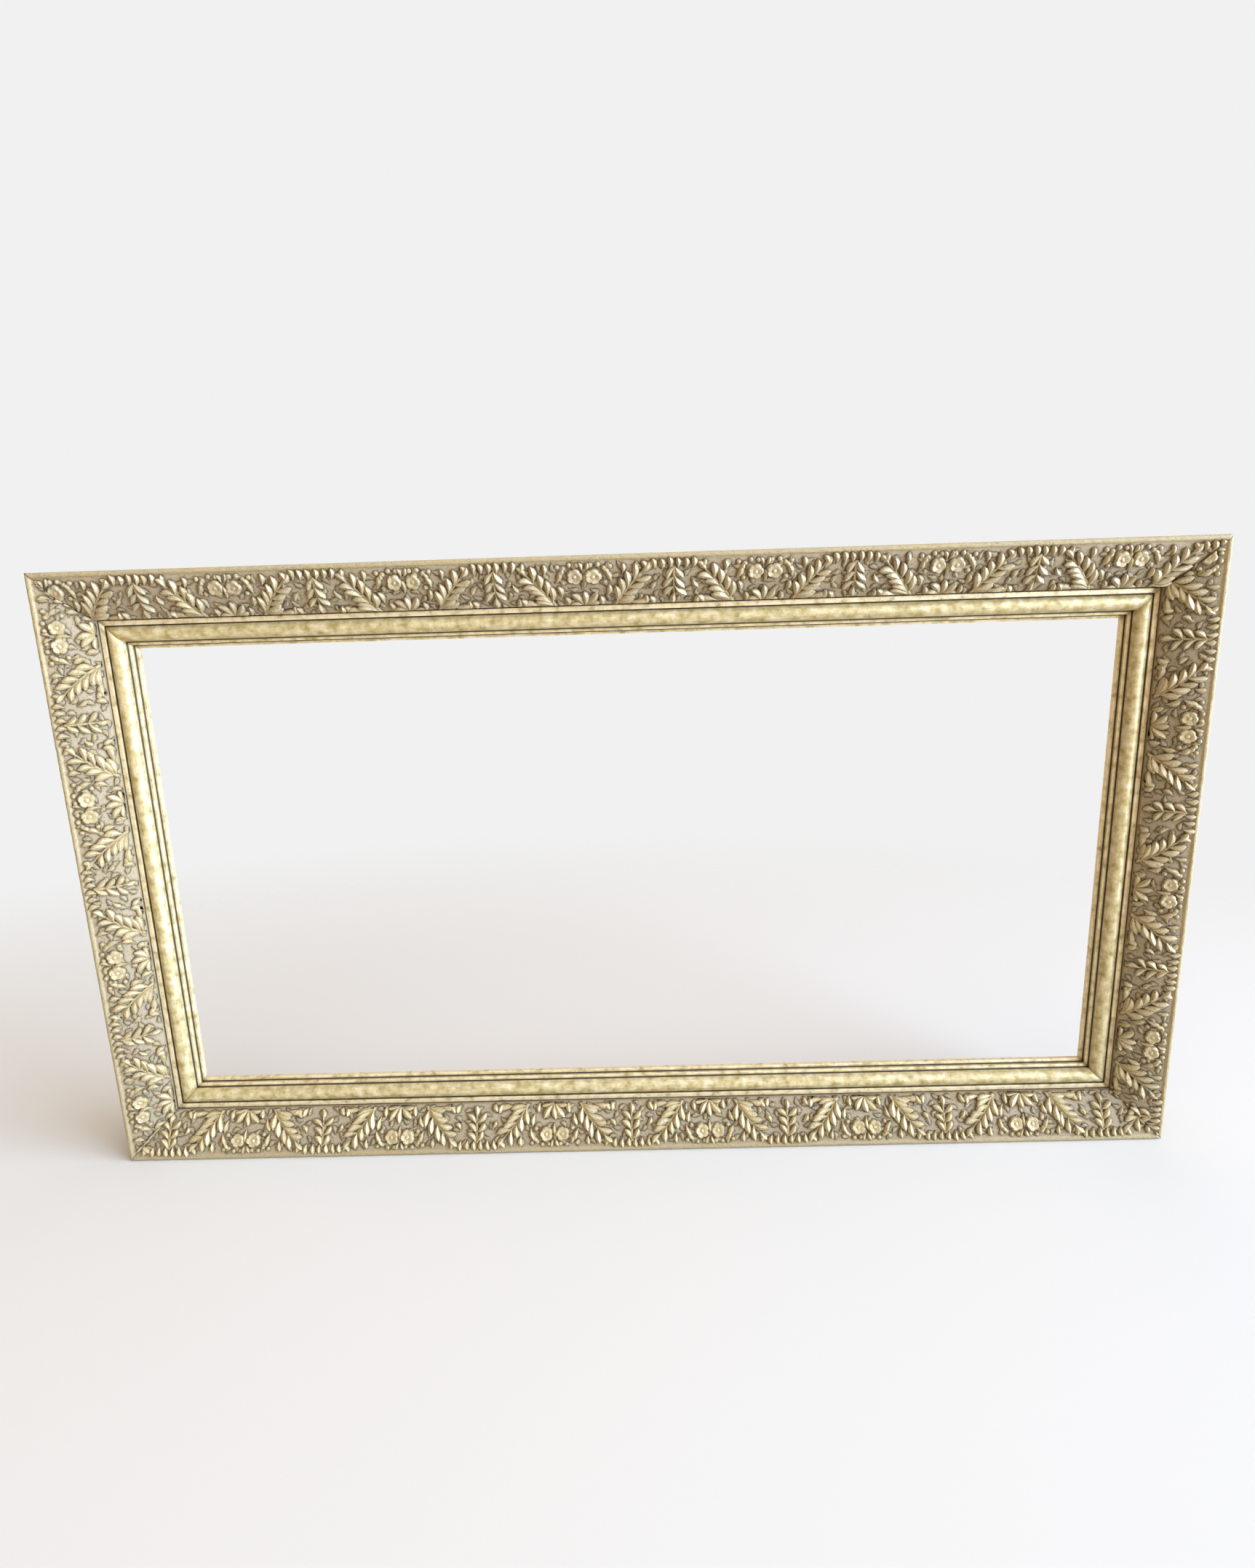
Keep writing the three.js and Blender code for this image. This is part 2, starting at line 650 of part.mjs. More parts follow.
for (const side of sides) {
  const halfLength = (side.isRail ? FRAME_WIDTH : FRAME_HEIGHT) / 2;
  const halfExtent = (side.isRail ? FRAME_HEIGHT : FRAME_WIDTH) / 2;
  const rebateSpan = 2 * (halfLength - rebateWall);
  const buttonCount = side.isRail ? BUTTONS_ON_RAIL : BUTTONS_ON_STILE;
  const buttonPlaces = stretchMiddles(buttonCount, rebateSpan);
  const bradPlaces = stretchEnds(buttonCount, rebateSpan, BRAD_END_INSET);
  const pivotZ = halfExtent - rebateWall + BUTTON_PIVOT_INSET;
  const sideGroup = new THREE.Group();
  sideGroup.rotation.y = side.turn;
  frame.add(sideGroup);

  const coreCuts = keySlots(halfLength, halfExtent);
  for (const x of bradPlaces) coreCuts.push(bradHole(x, halfExtent));
  if (side.hangerSign !== 0) {
    for (const drop of strapScrewDrops) {
      const x = side.hangerSign * (HANGER_ABOVE_CENTRE - drop);
      coreCuts.push(boreAlongY(x, halfExtent - hangerInset, 0, SCREW_LENGTH, screwBoreRadius));
    }
  }
  addPiece(
    sideGroup,
    side.core,
    cutFrom(mitredLength(coreProfile(), halfLength, halfExtent), coreCuts),
    materials.core,
  );
  addPiece(
    sideGroup,
    `ornament_${side.name}`,
    ornamentLength(halfLength, halfExtent, side.flowerPlace),
    materials.ornament,
  );

  const screwBores = buttonPlaces.map((x) => (
    boreAlongY(x, pivotZ, -slipBack, SCREW_LENGTH, screwBoreRadius)
  ));
  addPiece(
    sideGroup,
    `slip_${side.name}`,
    cutFrom(mitredLength(slipProfile(), halfLength, halfExtent), screwBores),
    materials.slip,
  );

  buttonPlaces.forEach((x, i) => {
    const button = addPiece(sideGroup, `turn_button_${side.name}_${i + 1}`, buttonPiece(), materials.brass);
    button.position.set(x, buttonRest, pivotZ);
    const screw = addPiece(sideGroup, `button_screw_${side.name}_${i + 1}`, screwPiece(), materials.brass);
    screw.position.set(x, buttonScrewSeat, pivotZ);
  });
  bradPlaces.forEach((x, i) => {
    const brad = addPiece(sideGroup, `brad_${side.name}_${i + 1}`, bradPiece(), materials.steel);
    brad.position.set(x, -bradHeight, halfExtent - coreWall);
  });
}

// Corner keys, one for each quarter turn from the upper right
const corners = [
  { name: 'top_right', x: 1, z: 1, turn: 0 },
  { name: 'bottom_right', x: 1, z: -1, turn: Math.PI / 2 },
  { name: 'bottom_left', x: -1, z: -1, turn: Math.PI },
  { name: 'top_left', x: -1, z: 1, turn: -Math.PI / 2 },
];

for (const corner of corners) {
  const plate = keyPlate(KEY_LEG, 0, KEY_THICKNESS);
  const key = addPiece(frame, `corner_key_${corner.name}`, plate, materials.key);
  key.position.set((corner.x * FRAME_WIDTH) / 2, 0, (corner.z * FRAME_HEIGHT) / 2);
  key.rotation.y = corner.turn;
}

// Strap hangers on the backs of the stiles
for (const [name, sign] of [['left', -1], ['right', 1]]) {
  const hanger = new THREE.Group();
  hanger.position.set(sign * (FRAME_WIDTH / 2 - hangerInset), 0, HANGER_ABOVE_CENTRE);
  frame.add(hanger);
  addPiece(hanger, `strap_${name}`, strapPiece(), materials.brass);
  const ring = addPiece(hanger, `d_ring_${name}`, ringPiece(), materials.brass);
  ring.position.y = eyeHeight;
  strapScrewDrops.forEach((drop, i) => {
    const screw = addPiece(hanger, `strap_screw_${name}_${i + 1}`, screwPiece(), materials.brass);
    screw.position.set(0, strapFace + SEAT_GAP, -drop);
  });
}

export default frame;
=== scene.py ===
import json
import math
from contextlib import contextmanager

import bmesh
import bpy
from mathutils import Matrix, Vector, noise


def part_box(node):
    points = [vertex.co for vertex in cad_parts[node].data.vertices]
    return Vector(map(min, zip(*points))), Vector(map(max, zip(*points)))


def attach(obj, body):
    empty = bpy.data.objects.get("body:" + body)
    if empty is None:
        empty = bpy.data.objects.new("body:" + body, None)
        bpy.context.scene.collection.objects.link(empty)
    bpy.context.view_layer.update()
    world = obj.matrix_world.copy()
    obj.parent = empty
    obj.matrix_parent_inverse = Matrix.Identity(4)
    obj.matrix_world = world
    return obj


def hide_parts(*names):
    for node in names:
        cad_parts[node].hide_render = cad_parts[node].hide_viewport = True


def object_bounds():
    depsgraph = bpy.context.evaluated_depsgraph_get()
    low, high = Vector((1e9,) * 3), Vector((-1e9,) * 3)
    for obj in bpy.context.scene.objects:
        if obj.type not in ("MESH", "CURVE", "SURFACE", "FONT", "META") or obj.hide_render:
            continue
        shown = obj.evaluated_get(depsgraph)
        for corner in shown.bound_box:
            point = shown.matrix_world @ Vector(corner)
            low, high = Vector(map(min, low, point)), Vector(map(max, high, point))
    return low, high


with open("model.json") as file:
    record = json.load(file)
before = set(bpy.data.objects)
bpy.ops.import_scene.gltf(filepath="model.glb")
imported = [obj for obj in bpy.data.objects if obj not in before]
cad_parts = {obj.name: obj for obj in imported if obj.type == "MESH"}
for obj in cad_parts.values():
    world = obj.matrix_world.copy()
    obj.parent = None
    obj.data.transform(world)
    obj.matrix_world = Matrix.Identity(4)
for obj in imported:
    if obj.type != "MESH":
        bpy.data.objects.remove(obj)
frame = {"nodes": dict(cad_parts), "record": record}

mm = 0.001
weld = 1e-6  # points closer than this, in metres, are one
cadBox = [list(corner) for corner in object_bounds()]  # the solids' own box, before any piece is dressed
bodyOf = {node: body for body, nodes in frame["record"]["behaviour"]["bodies"].items() for node in nodes}
print("frame loaded:", len(frame["nodes"]), "nodes")


# Shared helpers

def linearColour(hexText):
    channels = [int(hexText[i:i + 2], 16) / 255 for i in (1, 3, 5)]
    return (*(c / 12.92 if c <= 0.04045 else ((c + 0.055) / 1.055) ** 2.4 for c in channels), 1)


def perMetre(sizeMm):  # texture scale of a pattern whose features are this many millimetres apart
    return 1000 / sizeMm


def plug(tree, node, links):
    for key, value in links.items():
        socket = next(s for s in node.inputs if key in (s.identifier, s.name))
        for source in value if isinstance(value, list) else [value]:
            if isinstance(source, bpy.types.NodeSocket):
                tree.links.new(source, socket)
            elif isinstance(source, str) and source.startswith("#"):
                socket.default_value = linearColour(source)
            else:
                socket.default_value = source


# Adds one node with its settings and links, and gives back one of its outputs
def addNode(tree, kind, links=None, out=0, stops=None, **settings):
    node = tree.nodes.new(kind)
    for name, value in settings.items():
        setattr(node, name, value)
    if stops:
        ramp = node.color_ramp
        ramp.elements[0].position, ramp.elements[1].position = stops[0][0], stops[-1][0]
        for place, colour in stops[1:-1]:
            ramp.elements.new(place)
        for element, (place, colour) in zip(ramp.elements, stops):
            element.color = linearColour(colour)
    plug(tree, node, links or {})
    found = [s for i, s in enumerate(node.outputs) if out in (i, s.identifier, s.name)]
    return found[0] if found else node


def newMaterial(name):
    material = bpy.data.materials.new(name)
    material.use_nodes = True
    return material, material.node_tree, material.node_tree.nodes["Principled BSDF"]


# A Geometry Nodes tree with named inputs, and what those inputs give inside it
def newTree(name, inputs, result):
    tree = bpy.data.node_groups.new(name, "GeometryNodeTree")
    for kind, labels in inputs.items():
        for label in labels:
            tree.interface.new_socket(label, in_out="INPUT", socket_type="NodeSocket" + kind)
    tree.interface.new_socket(result, in_out="OUTPUT", socket_type="NodeSocketGeometry")
    return tree, tree.nodes.new("NodeGroupInput").outputs


def newObject(name, data):
    piece = bpy.data.objects.new(name, data)
    bpy.context.scene.collection.objects.link(piece)
    return piece


def meshFrom(name, vertices, faces=(), edges=()):
    mesh = bpy.data.meshes.new(name)
    mesh.from_pydata(vertices, edges, faces)
    mesh.update()
    return mesh


# Quads over rows of points: each row may close on itself, and the last row may meet the first
def gridFaces(rows, width, rowsClose=False, lastMeetsFirst=False):
    faces = []
    for i in range(rows if lastMeetsFirst else rows - 1):
        here, there = i * width, (i + 1) % rows * width
        for k in range(width if rowsClose else width - 1):
            follows = (k + 1) % width
            faces.append((here + k, here + follows, there + follows, there + k))
    return faces


def setPointValues(mesh, name, kind, values):
    attribute = mesh.attributes.new(name, kind, "POINT")
    flat = values if kind != "FLOAT_VECTOR" else [part for value in values for part in value]
    attribute.data.foreach_set("vector" if kind == "FLOAT_VECTOR" else "value", flat)


# Opens a mesh to edit its points and faces, and puts it back
@contextmanager
def editing(mesh):
    shape = bmesh.new()
    shape.from_mesh(mesh)
    yield shape
    shape.to_mesh(mesh)
    shape.free()
    mesh.update()


def faceOutwards(mesh, mergeWithin=0.0):
    with editing(mesh) as shape:
        if mergeWithin:
            bmesh.ops.remove_doubles(shape, verts=shape.verts, dist=mergeWithin)
        bmesh.ops.recalc_face_normals(shape, faces=shape.faces)


def smoothShaded(mesh, angle=None):
    mesh.shade_smooth()
    if angle is not None:
        mesh.set_sharp_from_angle(angle=math.radians(angle))


# Turns what a piece's modifiers make into its plain mesh
def settle(piece):
    graph = bpy.context.evaluated_depsgraph_get()
    mesh = bpy.data.meshes.new_from_object(
        piece.evaluated_get(graph), preserve_all_data_layers=True, depsgraph=graph)
    piece.modifiers.clear()
    piece.data = mesh
    return piece


# Runs a node tree on a piece, with its inputs set by their identifiers
def grow(piece, tree, settings):
    modifier = piece.modifiers.new(tree.name, "NODES")
    modifier.node_group = tree
    for key, value in settings.items():
        item = next(item for item in tree.interface.items_tree if item.name == key)
        modifier[item.identifier] = value
    return settle(piece)


# A finished piece rides with the body of the nodes it stands for, and those nodes are hidden
def standFor(piece, *nodes):
    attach(piece, bodyOf[nodes[0]])
    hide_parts(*nodes)


# The frame's four sides, laid out as the top one and turned about Y
halfWidth, halfHeight = cadBox[1][0], cadBox[1][2]
mitreGap = 0.15 * mm
sides = {
    "top": {"turn": 0, "core": "rail_top", "flowerAt": -38},
    "right": {"turn": 90, "core": "stile_right", "flowerAt": 36},
    "bottom": {"turn": 180, "core": "rail_bottom", "flowerAt": 97},
    "left": {"turn": -90, "core": "stile_left", "flowerAt": 87.5},
}
for name, side in sides.items():
    side["upright"] = name in ("left", "right")
    side["halfLength"] = halfHeight if side["upright"] else halfWidth
    side["halfExtent"] = halfWidth if side["upright"] else halfHeight
    side["toPlace"] = Matrix.Rotation(math.radians(side["turn"]), 4, "Y")


# Materials

colourMix = {"out": 2, "data_type": "RGBA"}  # settings of a node that mixes two colours


# Leaf and bronze powder over pressed composition: worn pale tops that double as painted highlights, a matt
# khaki ground, painted shade low in the relief and deep brown in the gaps
def agedGilding():
    material, tree, shader = newMaterial("agedGiltComposition")
    flat = addNode(tree, "ShaderNodeAttribute", out="Vector", attribute_name="flat")
    raised, crevice, tint = (addNode(tree, "ShaderNodeAttribute", out="Fac", attribute_name=name)
                             for name in ("relief", "crevice", "tint"))
    patches = addNode(tree, "ShaderNodeTexNoise", {"Vector": flat, "Scale": perMetre(26), "Detail": 4.0})
    tarnish = addNode(tree, "ShaderNodeTexNoise", {"Vector": flat, "Scale": perMetre(6), "Detail": 6.0,
                                                   "Roughness": 0.65})
    # Pinholes in the leaf, drawn coarser than real ones so that they show
    pits = addNode(tree, "ShaderNodeTexNoise", {"Vector": flat, "Scale": perMetre(1.7), "Detail": 4.0})
    # Painted shade and highlight: the colour darkens low in the relief and pales towards its tops, partly
    # rubbed wear
    gold = addNode(tree, "ShaderNodeValToRGB", {"Fac": raised}, stops=[
        (0.0, "#9b8863"), (0.3, "#a49163"), (0.65, "#b39f70"), (1.0, "#c7b587")])
    dulled = addNode(tree, "ShaderNodeMath", {"Value": tint, "Value_001": patches}, operation="MULTIPLY")
    dullness = addNode(tree, "ShaderNodeMapRange", {"Value": dulled, "From Min": 0.12, "From Max": 0.5,
                                                    "To Max": 0.55})
    khaki = addNode(tree, "ShaderNodeMix", {"Factor_Float": dullness, "A_Color": gold, "B_Color": "#9b8e73"},
                    **colourMix)
    boleShows = addNode(tree, "ShaderNodeMapRange",
                        {"Value": tarnish, "From Min": 0.56, "From Max": 0.74, "To Max": 0.5})
    boled = addNode(tree, "ShaderNodeMix",
                    {"Factor_Float": boleShows, "A_Color": khaki, "B_Color": "#946d3c"}, **colourMix)
    # Painted highlight: high relief goes pale cream where the tarnish noise is high, partly rubbed gilding
    rubbedHighlight = addNode(tree, "ShaderNodeMath", {"Value": raised, "Value_001": tarnish}, operation="MULTIPLY")
    highlight = addNode(tree, "ShaderNodeMapRange",
                        {"Value": rubbedHighlight, "From Min": 0.4, "From Max": 0.62, "To Max": 0.4})
    bright = addNode(tree, "ShaderNodeMix",
                     {"Factor_Float": highlight, "A_Color": boled, "B_Color": "#f0e5c6"}, **colourMix)
    pitted = addNode(tree, "ShaderNodeMapRange",
                     {"Value": pits, "From Min": 0.44, "From Max": 0.3, "To Max": 0.6})
    # Painted shade: dark brown near the relief and low on its flanks, uneven by the tarnish noise, over real
    # pinholes
    deepShade = addNode(tree, "ShaderNodeMath", {"Value": crevice, "Value_001": 1.3}, operation="POWER")
    shadeBreakup = addNode(tree, "ShaderNodeMapRange", {"Value": tarnish, "From Min": 0.35, "From Max": 0.65,
                                                  "To Min": 0.5, "To Max": 1.15})
    shadeAndGrime = addNode(tree, "ShaderNodeMath", {"Value": deepShade, "Value_001": shadeBreakup, "Value_002": pitted},
                    operation="MULTIPLY_ADD", use_clamp=True)
    colour = addNode(tree, "ShaderNodeMix", {"Factor_Float": shadeAndGrime, "A_Color": bright, "B_Color": "#2a1d0f"},
                     **colourMix)
    roughness = addNode(tree, "ShaderNodeMapRange", {"Value": raised, "To Min": 0.78, "To Max": 0.42})
    metal = addNode(tree, "ShaderNodeMapRange", {"Value": raised, "To Min": 0.0, "To Max": 0.35})
    bump = addNode(tree, "ShaderNodeBump", {"Height": pits, "Strength": 0.5, "Distance": 0.5 * mm})
    plug(tree, shader, {"Base Color": colour, "Roughness": roughness, "Metallic": metal, "Normal": bump})
    return material


# Burnished leaf over bole and gesso: mottled yellow gold, cream gesso on rubbed arrises, grime and painted
# shade in the quirks
def burnishedGold():
    material, tree, shader = newMaterial("burnishedGoldLeaf")
    flat = addNode(tree, "ShaderNodeAttribute", out="Vector", attribute_name="flat")
    cornerKind = addNode(tree, "ShaderNodeAttribute", out="Fac", attribute_name="cornerKind")
    drawn = addNode(tree, "ShaderNodeMapping", {"Vector": flat, "Scale": (0.12, 1.0, 1.0)})
    streaks = addNode(tree, "ShaderNodeTexNoise", {"Vector": drawn, "Scale": perMetre(2.2), "Detail": 4.0})
    mottle = addNode(tree, "ShaderNodeTexNoise", {"Vector": flat, "Scale": perMetre(9), "Detail": 6.0})
    specks = addNode(tree, "ShaderNodeTexNoise", {"Vector": flat, "Scale": perMetre(1.8), "Detail": 2.0})
    gold = addNode(tree, "ShaderNodeValToRGB", {"Fac": mottle}, stops=[
        (0.3, "#a08c54"), (0.5, "#c4b27f"), (0.7, "#dacda4")])
    streaky = addNode(tree, "ShaderNodeMapRange",
                      {"Value": streaks, "From Min": 0.5, "From Max": 0.75, "To Max": 0.35})
    olive = addNode(tree, "ShaderNodeMix", {"Factor_Float": streaky, "A_Color": gold, "B_Color": "#746736"},
                    **colourMix)
    edgeRub = addNode(tree, "ShaderNodeMath", {"Value": cornerKind, "Value_001": mottle}, operation="MULTIPLY")
    rubbing = addNode(tree, "ShaderNodeMapRange", {"Value": edgeRub, "From Min": 0.3, "From Max": 0.55})
    gessoed = addNode(tree, "ShaderNodeMix",
                      {"Factor_Float": rubbing, "A_Color": olive, "B_Color": "#e0cfa4"}, **colourMix)
    # Dirt and painted shade darken the quirks
    quirkDirtAndShade = addNode(tree, "ShaderNodeMapRange", {"Value": cornerKind, "From Min": -0.25, "From Max": -0.9})
    speckle = addNode(tree, "ShaderNodeMapRange",
                      {"Value": specks, "From Min": 0.36, "From Max": 0.27, "To Max": 0.7})
    shadeAndGrime = addNode(tree, "ShaderNodeMath", {"Value": quirkDirtAndShade, "Value_001": speckle},
                    operation="ADD", use_clamp=True)
    colour = addNode(tree, "ShaderNodeMix", {"Factor_Float": shadeAndGrime, "A_Color": gessoed, "B_Color": "#33200f"},
                     **colourMix)
    roughness = addNode(tree, "ShaderNodeMapRange", {"Value": mottle, "To Min": 0.4, "To Max": 0.58})
    metal = addNode(tree, "ShaderNodeMapRange", {"Value": shadeAndGrime, "To Min": 0.4, "To Max": 0.1})
    bump = addNode(tree, "ShaderNodeBump", {"Height": streaks, "Strength": 0.15, "Distance": 0.3 * mm})
    plug(tree, shader, {"Base Color": colour, "Roughness": roughness, "Metallic": metal, "Normal": bump})
    return material


# Old pine, lime or beech: raw brown grain at the back, an ochre and umber wash on the outer sides
def agedWood(name, grainScale, tones=("#7a5531", "#a37c4c", "#b8925e", "#8a6238")):
    material, tree, shader = newMaterial(name)
    place = addNode(tree, "ShaderNodeTexCoord", out="Object")
    facing = addNode(tree, "ShaderNodeTexCoord", out="Normal")
    back = addNode(tree, "ShaderNodeSeparateXYZ", {"Vector": facing}, out="Y")
    along = addNode(tree, "ShaderNodeMapping", {"Vector": place, "Scale": grainScale})
    rings = addNode(tree, "ShaderNodeTexNoise", {"Vector": along, "Scale": perMetre(5), "Detail": 5.0,
                                                 "Distortion": 0.6})
    fibres = addNode(tree, "ShaderNodeTexNoise", {"Vector": along, "Scale": perMetre(0.9), "Detail": 2.0})
    stains = addNode(tree, "ShaderNodeTexNoise", {"Vector": place, "Scale": perMetre(60), "Detail": 4.0})
    grain = addNode(tree, "ShaderNodeValToRGB", {"Fac": rings}, stops=[
        (0.3, tones[0]), (0.48, tones[1]), (0.6, tones[2]), (0.75, tones[3])])
    fibred = addNode(tree, "ShaderNodeMix", {"Factor_Float": fibres, "A_Color": grain, "B_Color": "#6d4a2a"},
                     **colourMix)
    staining = addNode(tree, "ShaderNodeMapRange",
                       {"Value": stains, "From Min": 0.45, "From Max": 0.7, "To Max": 0.6})
    aged = addNode(tree, "ShaderNodeMix", {"Factor_Float": staining, "A_Color": fibred, "B_Color": "#4b331d"},
                   **colourMix)
    wash = addNode(tree, "ShaderNodeValToRGB", {"Fac": stains}, stops=[
        (0.35, "#5d4524"), (0.55, "#8a6b38"), (0.7, "#6b4f2a")])
    isBack = addNode(tree, "ShaderNodeMapRange", {"Value": back, "From Min": 0.4, "From Max": 0.6})
    colour = addNode(tree, "ShaderNodeMix", {"Factor_Float": isBack, "A_Color": wash, "B_Color": aged},
                     **colourMix)
    bump = addNode(tree, "ShaderNodeBump", {"Height": fibres, "Strength": 0.3, "Distance": 0.3 * mm})
    plug(tree, shader, {"Base Color": colour, "Roughness": 0.7, "Normal": bump})
    return material


# Stamped and rolled brass gone dull, brown in patches
def tarnishedBrass():
    material, tree, shader = newMaterial("tarnishedBrass")
    place = addNode(tree, "ShaderNodeTexCoord", out="Object")
    tarnish = addNode(tree, "ShaderNodeTexNoise", {"Vector": place, "Scale": perMetre(4), "Detail": 5.0})
    fine = addNode(tree, "ShaderNodeTexNoise", {"Vector": place, "Scale": perMetre(0.6), "Detail": 2.0})
    colour = addNode(tree, "ShaderNodeValToRGB", {"Fac": tarnish}, stops=[
        (0.32, "#5c4521"), (0.5, "#a5833f"), (0.68, "#c8a75c")])
    roughness = addNode(tree, "ShaderNodeMapRange", {"Value": tarnish, "To Min": 0.6, "To Max": 0.25})
    bump = addNode(tree, "ShaderNodeBump", {"Height": fine, "Strength": 0.15, "Distance": 0.1 * mm})
    plug(tree, shader, {"Base Color": colour, "Roughness": roughness, "Metallic": 1.0, "Normal": bump})
    return material


# Cut iron brads, grey with brown rust bloom
def rustyIron():
    material, tree, shader = newMaterial("rustyIron")
    place = addNode(tree, "ShaderNodeTexCoord", out="Object")
    rust = addNode(tree, "ShaderNodeTexNoise", {"Vector": place, "Scale": perMetre(2), "Detail": 5.0})
    colour = addNode(tree, "ShaderNodeValToRGB", {"Fac": rust}, stops=[
        (0.4, "#55524d"), (0.55, "#6a5747"), (0.7, "#6b3f22")])
    metal = addNode(tree, "ShaderNodeMapRange", {"Value": rust, "From Min": 0.4, "From Max": 0.65,
                                                 "To Min": 0.9, "To Max": 0.1})
    plug(tree, shader, {"Base Color": colour, "Metallic": metal, "Roughness": 0.55})
    return material


gilding = agedGilding()
goldLeaf = burnishedGold()
pineAlongX = agedWood("agedPineRail", (0.05, 1.0, 1.0))
pineAlongZ = agedWood("agedPineStile", (1.0, 1.0, 0.05))
keyWood = agedWood("beechKey", (1.0, 1.0, 0.2))
paleTones = ("#8f7346", "#b89a66", "#c9ad7b", "#9c7f50")
limeAlongX = agedWood("limeSlipRail", (0.05, 1.0, 1.0), paleTones)
limeAlongZ = agedWood("limeSlipStile", (1.0, 1.0, 0.05), paleTones)
brass = tarnishedBrass()
iron = rustyIron()
print("materials made:", len(bpy.data.materials))


# Moulding lengths, swept from a profile of distance in from the outer edge and height above the back, in mm

# How a corner is rounded: mm, and shares of the sides that meet there
arris = {"steps": 3, "shoulder": 1.1, "shoulderRoom": 6, "leastBend": 0.25, "sliver": 0.1, "mostReach": 0.42}


# Rounds each corner of a closed profile and says how far it is an arris (1) or a quirk (-1)
def softenedLoop(corners, softness):
    points = []
    steps, shoulder = arris["steps"], arris["shoulder"]
    roomy = arris["shoulderRoom"] * shoulder
    count = len(corners)
    for i, corner in enumerate(corners):
        here = Vector(corner)
        before = Vector(corners[i - 1]) - here
        after = Vector(corners[(i + 1) % count]) - here
        cross = before.x * after.y - before.y * after.x
        bend = cross / (before.length * after.length)
        if abs(bend) < arris["leastBend"] or before.dot(after) > 0 and before.length < arris["sliver"]:
            points.append((*here, 0.0))
            continue
        reach = min(softness, arris["mostReach"] * before.length, arris["mostReach"] * after.length)
        start, end = here + before.normalized() * reach, here + after.normalized() * reach
        if before.length > roomy:
            points.append((*(start + before.normalized() * shoulder), 0.0))
        for k in range(steps + 1):
            share = k / steps
            arc = start * (1 - share) ** 2 + here * 2 * share * (1 - share) + end * share ** 2
            points.append((*arc, math.copysign(1.0, bend)))
        if after.length > roomy:
            points.append((*(end + after.normalized() * shoulder), 0.0))
    return points


def sweptLength(name, loop, side, spacing, roughen):
    stations = round(2 * side["halfLength"] / (spacing * mm))
    vertices, flat, cornerKind = [], [], []
    reach = [0.0]
    for here, there in zip(loop, loop[1:]):
        reach.append(reach[-1] + math.hypot(there[0] - here[0], there[1] - here[1]))
    for i in range(stations + 1):
        share = 2 * i / stations - 1
        for (inset, height, edge), across in zip(loop, reach):
            along = share * (side["halfLength"] - inset * mm - mitreGap)
            lift = roughen(along / mm, across, edge)
            vertices.append((along, -(height + lift) * mm, side["halfExtent"] - inset * mm))
            flat.append((along, across * mm, 0.0))
            cornerKind.append(edge)
    width = len(loop)
    faces = gridFaces(stations + 1, width, rowsClose=True)
    faces += [tuple(range(width)), tuple(range(stations * width, (stations + 1) * width))]
    mesh = meshFrom(name, vertices, faces)
    setPointValues(mesh, "flat", "FLOAT_VECTOR", flat)
    setPointValues(mesh, "cornerKind", "FLOAT", cornerKind)
    faceOutwards(mesh)
    smoothShaded(mesh)
    return newObject(name, mesh)


# Slip: fillet, torus and two steps between the joint line and the sight edge
slip = {
    "fillet": 5.0, "filletStep": 2.8, "jointLine": 1.0, "lipReach": 7.6, "sideGap": 0.5,
    "quirk": 1.0, "quirkDepth": 2.4, "torus": 15.0, "torusRise": 5.0,
    "stepRise": 4.6, "stepSlope": 0.9, "stepWidth": 3.7, "steps": 2,
    "rebate": 8.0, "rebateDepth": 7.0, "bareMargin": 0.1, "softness": 0.55, "arcSteps": 20, "station": 8.0,
    "waviness": 0.12, "waveLength": 70.0, "waveAcross": 30.0, "waveSlice": 0.5,
}


def slipLoop():
    low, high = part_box("slip_top")
    outer = (halfHeight - high.z) / mm
    back = -high.y / mm
    torusTop = -low.y / mm
    foot = torusTop - slip["torusRise"]
    filletTop = foot + slip["quirkDepth"]
    filletOuter = outer - slip["sideGap"] + slip["lipReach"] + slip["jointLine"]
    filletInner = filletOuter + slip["fillet"]
    torusOuter = filletInner + slip["quirk"]
    torusInner = torusOuter + slip["torus"]
    firstStep = torusInner + slip["quirk"]
    sight = firstStep + slip["steps"] * slip["stepWidth"]
    ledge = back + slip["rebateDepth"]
    flange = filletTop - slip["filletStep"]
    corners = [(outer, back), (outer, flange), (filletOuter, flange), (filletOuter, filletTop),
               (filletInner, filletTop), (filletInner, foot)]
    radius = slip["torus"] ** 2 / (8 * slip["torusRise"]) + slip["torusRise"] / 2
    halfTurn = math.asin(slip["torus"] / 2 / radius)
    for i in range(slip["arcSteps"] + 1):
        turn = halfTurn * (2 * i / slip["arcSteps"] - 1)
        corners.append(((torusOuter + torusInner) / 2 + radius * math.sin(turn),
                        torusTop - radius * (1 - math.cos(turn))))
    corners.append((torusInner + slip["quirk"] / 2, foot - slip["quirkDepth"]))
    for step in range(slip["steps"]):
        inset = firstStep + step * slip["stepWidth"]
        height = foot - slip["stepRise"] - step * (slip["stepRise"] + slip["stepSlope"])
        corners += [(inset, height), (inset + slip["stepWidth"], height - slip["stepSlope"])]
    corners += [(sight, ledge), (sight - slip["rebate"], ledge), (sight - slip["rebate"], back)]
    return softenedLoop(corners, slip["softness"])


def slipWave(along, across, edge):  # old mouldings run a little out of true
    place = Vector((along / slip["waveLength"], across / slip["waveAcross"], slip["waveSlice"]))
    return slip["waviness"] * noise.noise(place)


